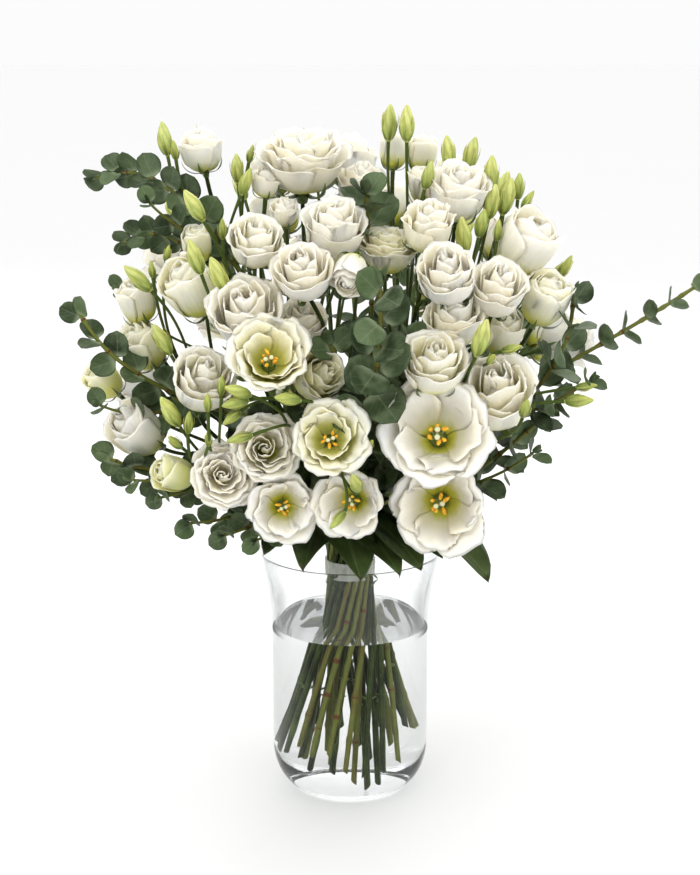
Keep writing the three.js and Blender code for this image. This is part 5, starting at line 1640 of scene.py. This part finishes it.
class CENTREPIECE_OT_tape(bpy.types.Operator):
    """Wind the binding tape: a band whose radius follows the outer stems by a cosine, in three turns of which
    each stands a little off the last"""

    bl_idname = "centrepiece.tape"
    bl_label = "Wind the Tape"

    def execute(self, context):
        sizes, colours = context.scene.centrepiece_sizes, context.scene.centrepiece_colours
        low, high, radius = (x / MM for x in (sizes.tape_low, sizes.tape_high, sizes.tape_radius))
        sides, rows = 152, 25
        t = np.linspace(0, 1, rows)
        turns = np.floor(t * 2.999)[:, None] * 0.22 - (t[:, None] * 3 % 1) * 0.15
        angle = np.arange(sides) / sides * TURN
        bumps = 0.35 * np.cos(RINGS[2]["count"] * angle)[None] - 0.6 + turns
        level = low + (high - low) * t
        outer = np.stack([np.full(rows, radius), level], -1)
        inner = np.stack([np.full(3, radius - 1.2), np.linspace(high, low, 3)], -1)
        outline = np.concatenate([outer, inner, outer[:1]])
        wave = np.concatenate([bumps, np.broadcast_to(bumps[:1], (3, sides)), bumps[:1]])
        skin = Skin()
        skin.rings(turned_grid(outline, sides, wave), 0)
        wears = [material_of("Binding Tape", tape_material, colours)]
        skin.piece("wound_tape", wears, "tape", ["binding_tape"])
        return {"FINISHED"}


class CENTREPIECE_OT_stems(bpy.types.Operator):
    """Grow the lisianthus stems with their stalks, leaves, buds and the green base of each flower"""

    bl_idname = "centrepiece.stems"
    bl_label = "Grow the Lisianthus"

    def execute(self, context):
        colours = context.scene.centrepiece_colours
        wears = [material_of("Green Stem", stem_material, colours),
                 material_of("Lisianthus Leaf", leaf_material, colours),
                 material_of("Green Bud", bud_material, colours)]
        share = 1 / STEM_STEPS
        for stem in arranged():
            if stem.kind != "lisianthus":
                continue
            skin = Skin()
            forks = [share + (1 - share) * head.fork for head in stem.heads[1:]]
            grow_stem(skin, stem, 0, 12, [0.05, *sorted(forks)], 0.5)
            for head in stem.heads:
                if head.stalk is not None:
                    grow_stalk(skin, head, 0)
                grow_calyx(skin, head, 2 if head.form == "bud" else 1)
                if head.form == "bud":
                    grow_bud(skin, head, 2)
            grow_bracts(skin, stem, 1)
            grow_stubs(skin, stem, 1)
            grow_collar(skin, stem, 1)
            skin.piece(f"stalks_{stem.name}", wears, "green_spray", [f"lisianthus_{stem.name}"])
        return {"FINISHED"}


class CENTREPIECE_OT_flowers(bpy.types.Operator):
    """Open the flowers of each lisianthus stem, petal by petal, with their stamens and pistils"""

    bl_idname = "centrepiece.flowers"
    bl_label = "Open the Flowers"

    def execute(self, context):
        colours = context.scene.centrepiece_colours
        wears = [material_of("White Petal", petal_material, colours),
                 material_of("Yellow Anther", stamen_material, colours),
                 material_of("Green Pistil", pistil_material, colours)]
        for stem in arranged():
            skin = Skin()
            nodes = [f"lisianthus_{stem.name}"]
            for head in stem.heads:
                if head.form == "bud":
                    continue
                grow_flower(skin, head, 0, 1, 2)
                if f"flower_{head.label}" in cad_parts:
                    nodes.append(f"flower_{head.label}")
            if skin.count:
                skin.piece(f"petals_{stem.name}", wears, "petal", nodes)
        return {"FINISHED"}


class CENTREPIECE_OT_eucalyptus(bpy.types.Operator):
    """Grow the eucalyptus twigs with their pairs of round leaves"""

    bl_idname = "centrepiece.eucalyptus"
    bl_label = "Grow the Eucalyptus"

    def execute(self, context):
        sizes, colours = context.scene.centrepiece_sizes, context.scene.centrepiece_colours
        wears = [material_of("Eucalyptus Twig", twig_material, colours),
                 material_of("Eucalyptus Leaf", eucalyptus_material, colours)]
        for stem in arranged():
            if stem.kind != "eucalyptus":
                continue
            skin = Skin()
            grow_twig(skin, stem, sizes.leaf_share, 0, 1)
            skin.piece(f"twig_{stem.name}", wears, "eucalyptus_leaf", [f"eucalyptus_{stem.name}"])
        return {"FINISHED"}


class CENTREPIECE_OT_stage(bpy.types.Operator):
    """Set the pale floor, the soft studio light and the camera"""

    bl_idname = "centrepiece.stage"
    bl_label = "Set the Stage"

    def execute(self, context):
        scene = context.scene
        settings, colours = scene.centrepiece_stage, scene.centrepiece_colours
        self.lay_floor(scene, colours)
        self.light(scene, settings)
        camera = bpy.data.objects.new("Camera", bpy.data.cameras.new("Camera"))
        scene.collection.objects.link(camera)
        camera.location = settings.eye
        camera.rotation_euler = (math.pi / 2 - settings.pitch, 0, 0)
        camera.data.lens = settings.lens
        camera.data.sensor_width = 36.0
        camera.data.clip_end = 50.0
        camera.data.dof.use_dof = False
        scene.camera = camera
        scene.view_settings.view_transform = "Standard"
        return {"FINISHED"}

    @staticmethod
    def lay_floor(scene, colours):
        """A level square at the height that the vase stands on."""
        across = np.linspace(-FLOOR_REACH, FLOOR_REACH, 9)
        x, y = np.meshgrid(across, across)
        points = np.stack([x, y, np.full(x.shape, -FLOOR_DROP)], -1).reshape(-1, 3)
        mesh = bpy.data.meshes.new("floor")
        cells = Skin.corners(np.arange(x.size).reshape(x.shape))
        mesh.from_pydata(points.tolist(), [], cells.tolist())
        mesh.materials.append(material_of("Pale Floor", floor_material, colours))
        floor = bpy.data.objects.new("floor", mesh)
        scene.collection.objects.link(floor)

    @staticmethod
    def light(scene, settings):
        """A sky that the camera sees as white, brighter overhead, dimmer at both sides, and much dimmer where
        the front is mirrored, as behind a flag, with a large soft light from the upper left and two fainter
        ones."""
        world = bpy.data.worlds.new("Studio")
        world.use_nodes = True
        scene.world = world
        tree = world.node_tree
        x, y, z = split(tree, place(tree, "ShaderNodeTexCoord").outputs["Generated"])
        sides = between(tree, calc(tree, "ABSOLUTE", x), 0.5, 0.97, 1.0, 0.78)
        above = between(tree, z, 0.3, 0.9, 1.0, 1.25)
        flag = unmirrored(tree, 0.85, between(tree, y, 0.85, 0.1))
        strength = times(tree, times(tree, times(tree, sides, flag), above), settings.sky)
        seen = tree.nodes.new("ShaderNodeLightPath").outputs["Is Camera Ray"]
        strength = place(tree, "ShaderNodeMix", {0: seen, 2: strength, 3: SEEN_SKY}).outputs[0]
        feed(tree, tree.nodes["Background"], {"Color": opaque((1, 1, 1)), "Strength": strength})
        lamps = (
            ("Key", settings.key, (-1.2, -1.5, 1.9), 1.5),
            ("Fill", settings.key * 0.55, (1.6, -1.4, 1.2), 1.5),
            ("Back", settings.key * 0.9, (0.3, 1.6, 1.8), 1.6),
        )
        for name, power, at, size in lamps:
            data = bpy.data.lights.new(name, "AREA")
            data.shape = "DISK"
            data.size = size
            data.energy = power
            lamp = bpy.data.objects.new(name, data)
            scene.collection.objects.link(lamp)
            lamp.location = at
            aim = np.array([0, 0, 0.3]) - at
            lamp.rotation_euler = mathutils.Vector(aim).to_track_quat("-Z", "Y").to_euler()


class CENTREPIECE_PT_panel(bpy.types.Panel):
    """The steps that build the centrepiece, and its sizes and colours"""

    bl_idname = "CENTREPIECE_PT_panel"
    bl_label = "Floral Centrepiece"
    bl_space_type = "VIEW_3D"
    bl_region_type = "UI"
    bl_category = "Bouquet"

    def draw(self, context):
        layout = self.layout
        for operator in STEPS:
            layout.operator(operator.bl_idname)
        for group_name, kind in SETTINGS.items():
            box = layout.box()
            for name in kind.__annotations__:
                box.prop(getattr(context.scene, group_name), name)


STEPS = (
    CENTREPIECE_OT_vase,
    CENTREPIECE_OT_water,
    CENTREPIECE_OT_tape,
    CENTREPIECE_OT_stems,
    CENTREPIECE_OT_flowers,
    CENTREPIECE_OT_eucalyptus,
    CENTREPIECE_OT_stage,
)
SETTINGS = {
    "centrepiece_sizes": CentrepieceSizes,
    "centrepiece_colours": CentrepieceColours,
    "centrepiece_stage": CentrepieceStage,
}
CLASSES = (*SETTINGS.values(), *STEPS, CENTREPIECE_PT_panel)


def register():
    for each in CLASSES:
        bpy.utils.register_class(each)
    for name, kind in SETTINGS.items():
        setattr(bpy.types.Scene, name, bpy.props.PointerProperty(type=kind))


def unregister():
    for name in SETTINGS:
        delattr(bpy.types.Scene, name)
    for each in reversed(CLASSES):
        bpy.utils.unregister_class(each)


def main():
    """Builds everything in order."""
    register()
    bpy.ops.centrepiece.stage()
    bpy.ops.centrepiece.vase()
    bpy.ops.centrepiece.water()
    bpy.ops.centrepiece.tape()
    bpy.ops.centrepiece.stems()
    bpy.ops.centrepiece.flowers()
    bpy.ops.centrepiece.eucalyptus()


if __name__ == "__main__":
    main()
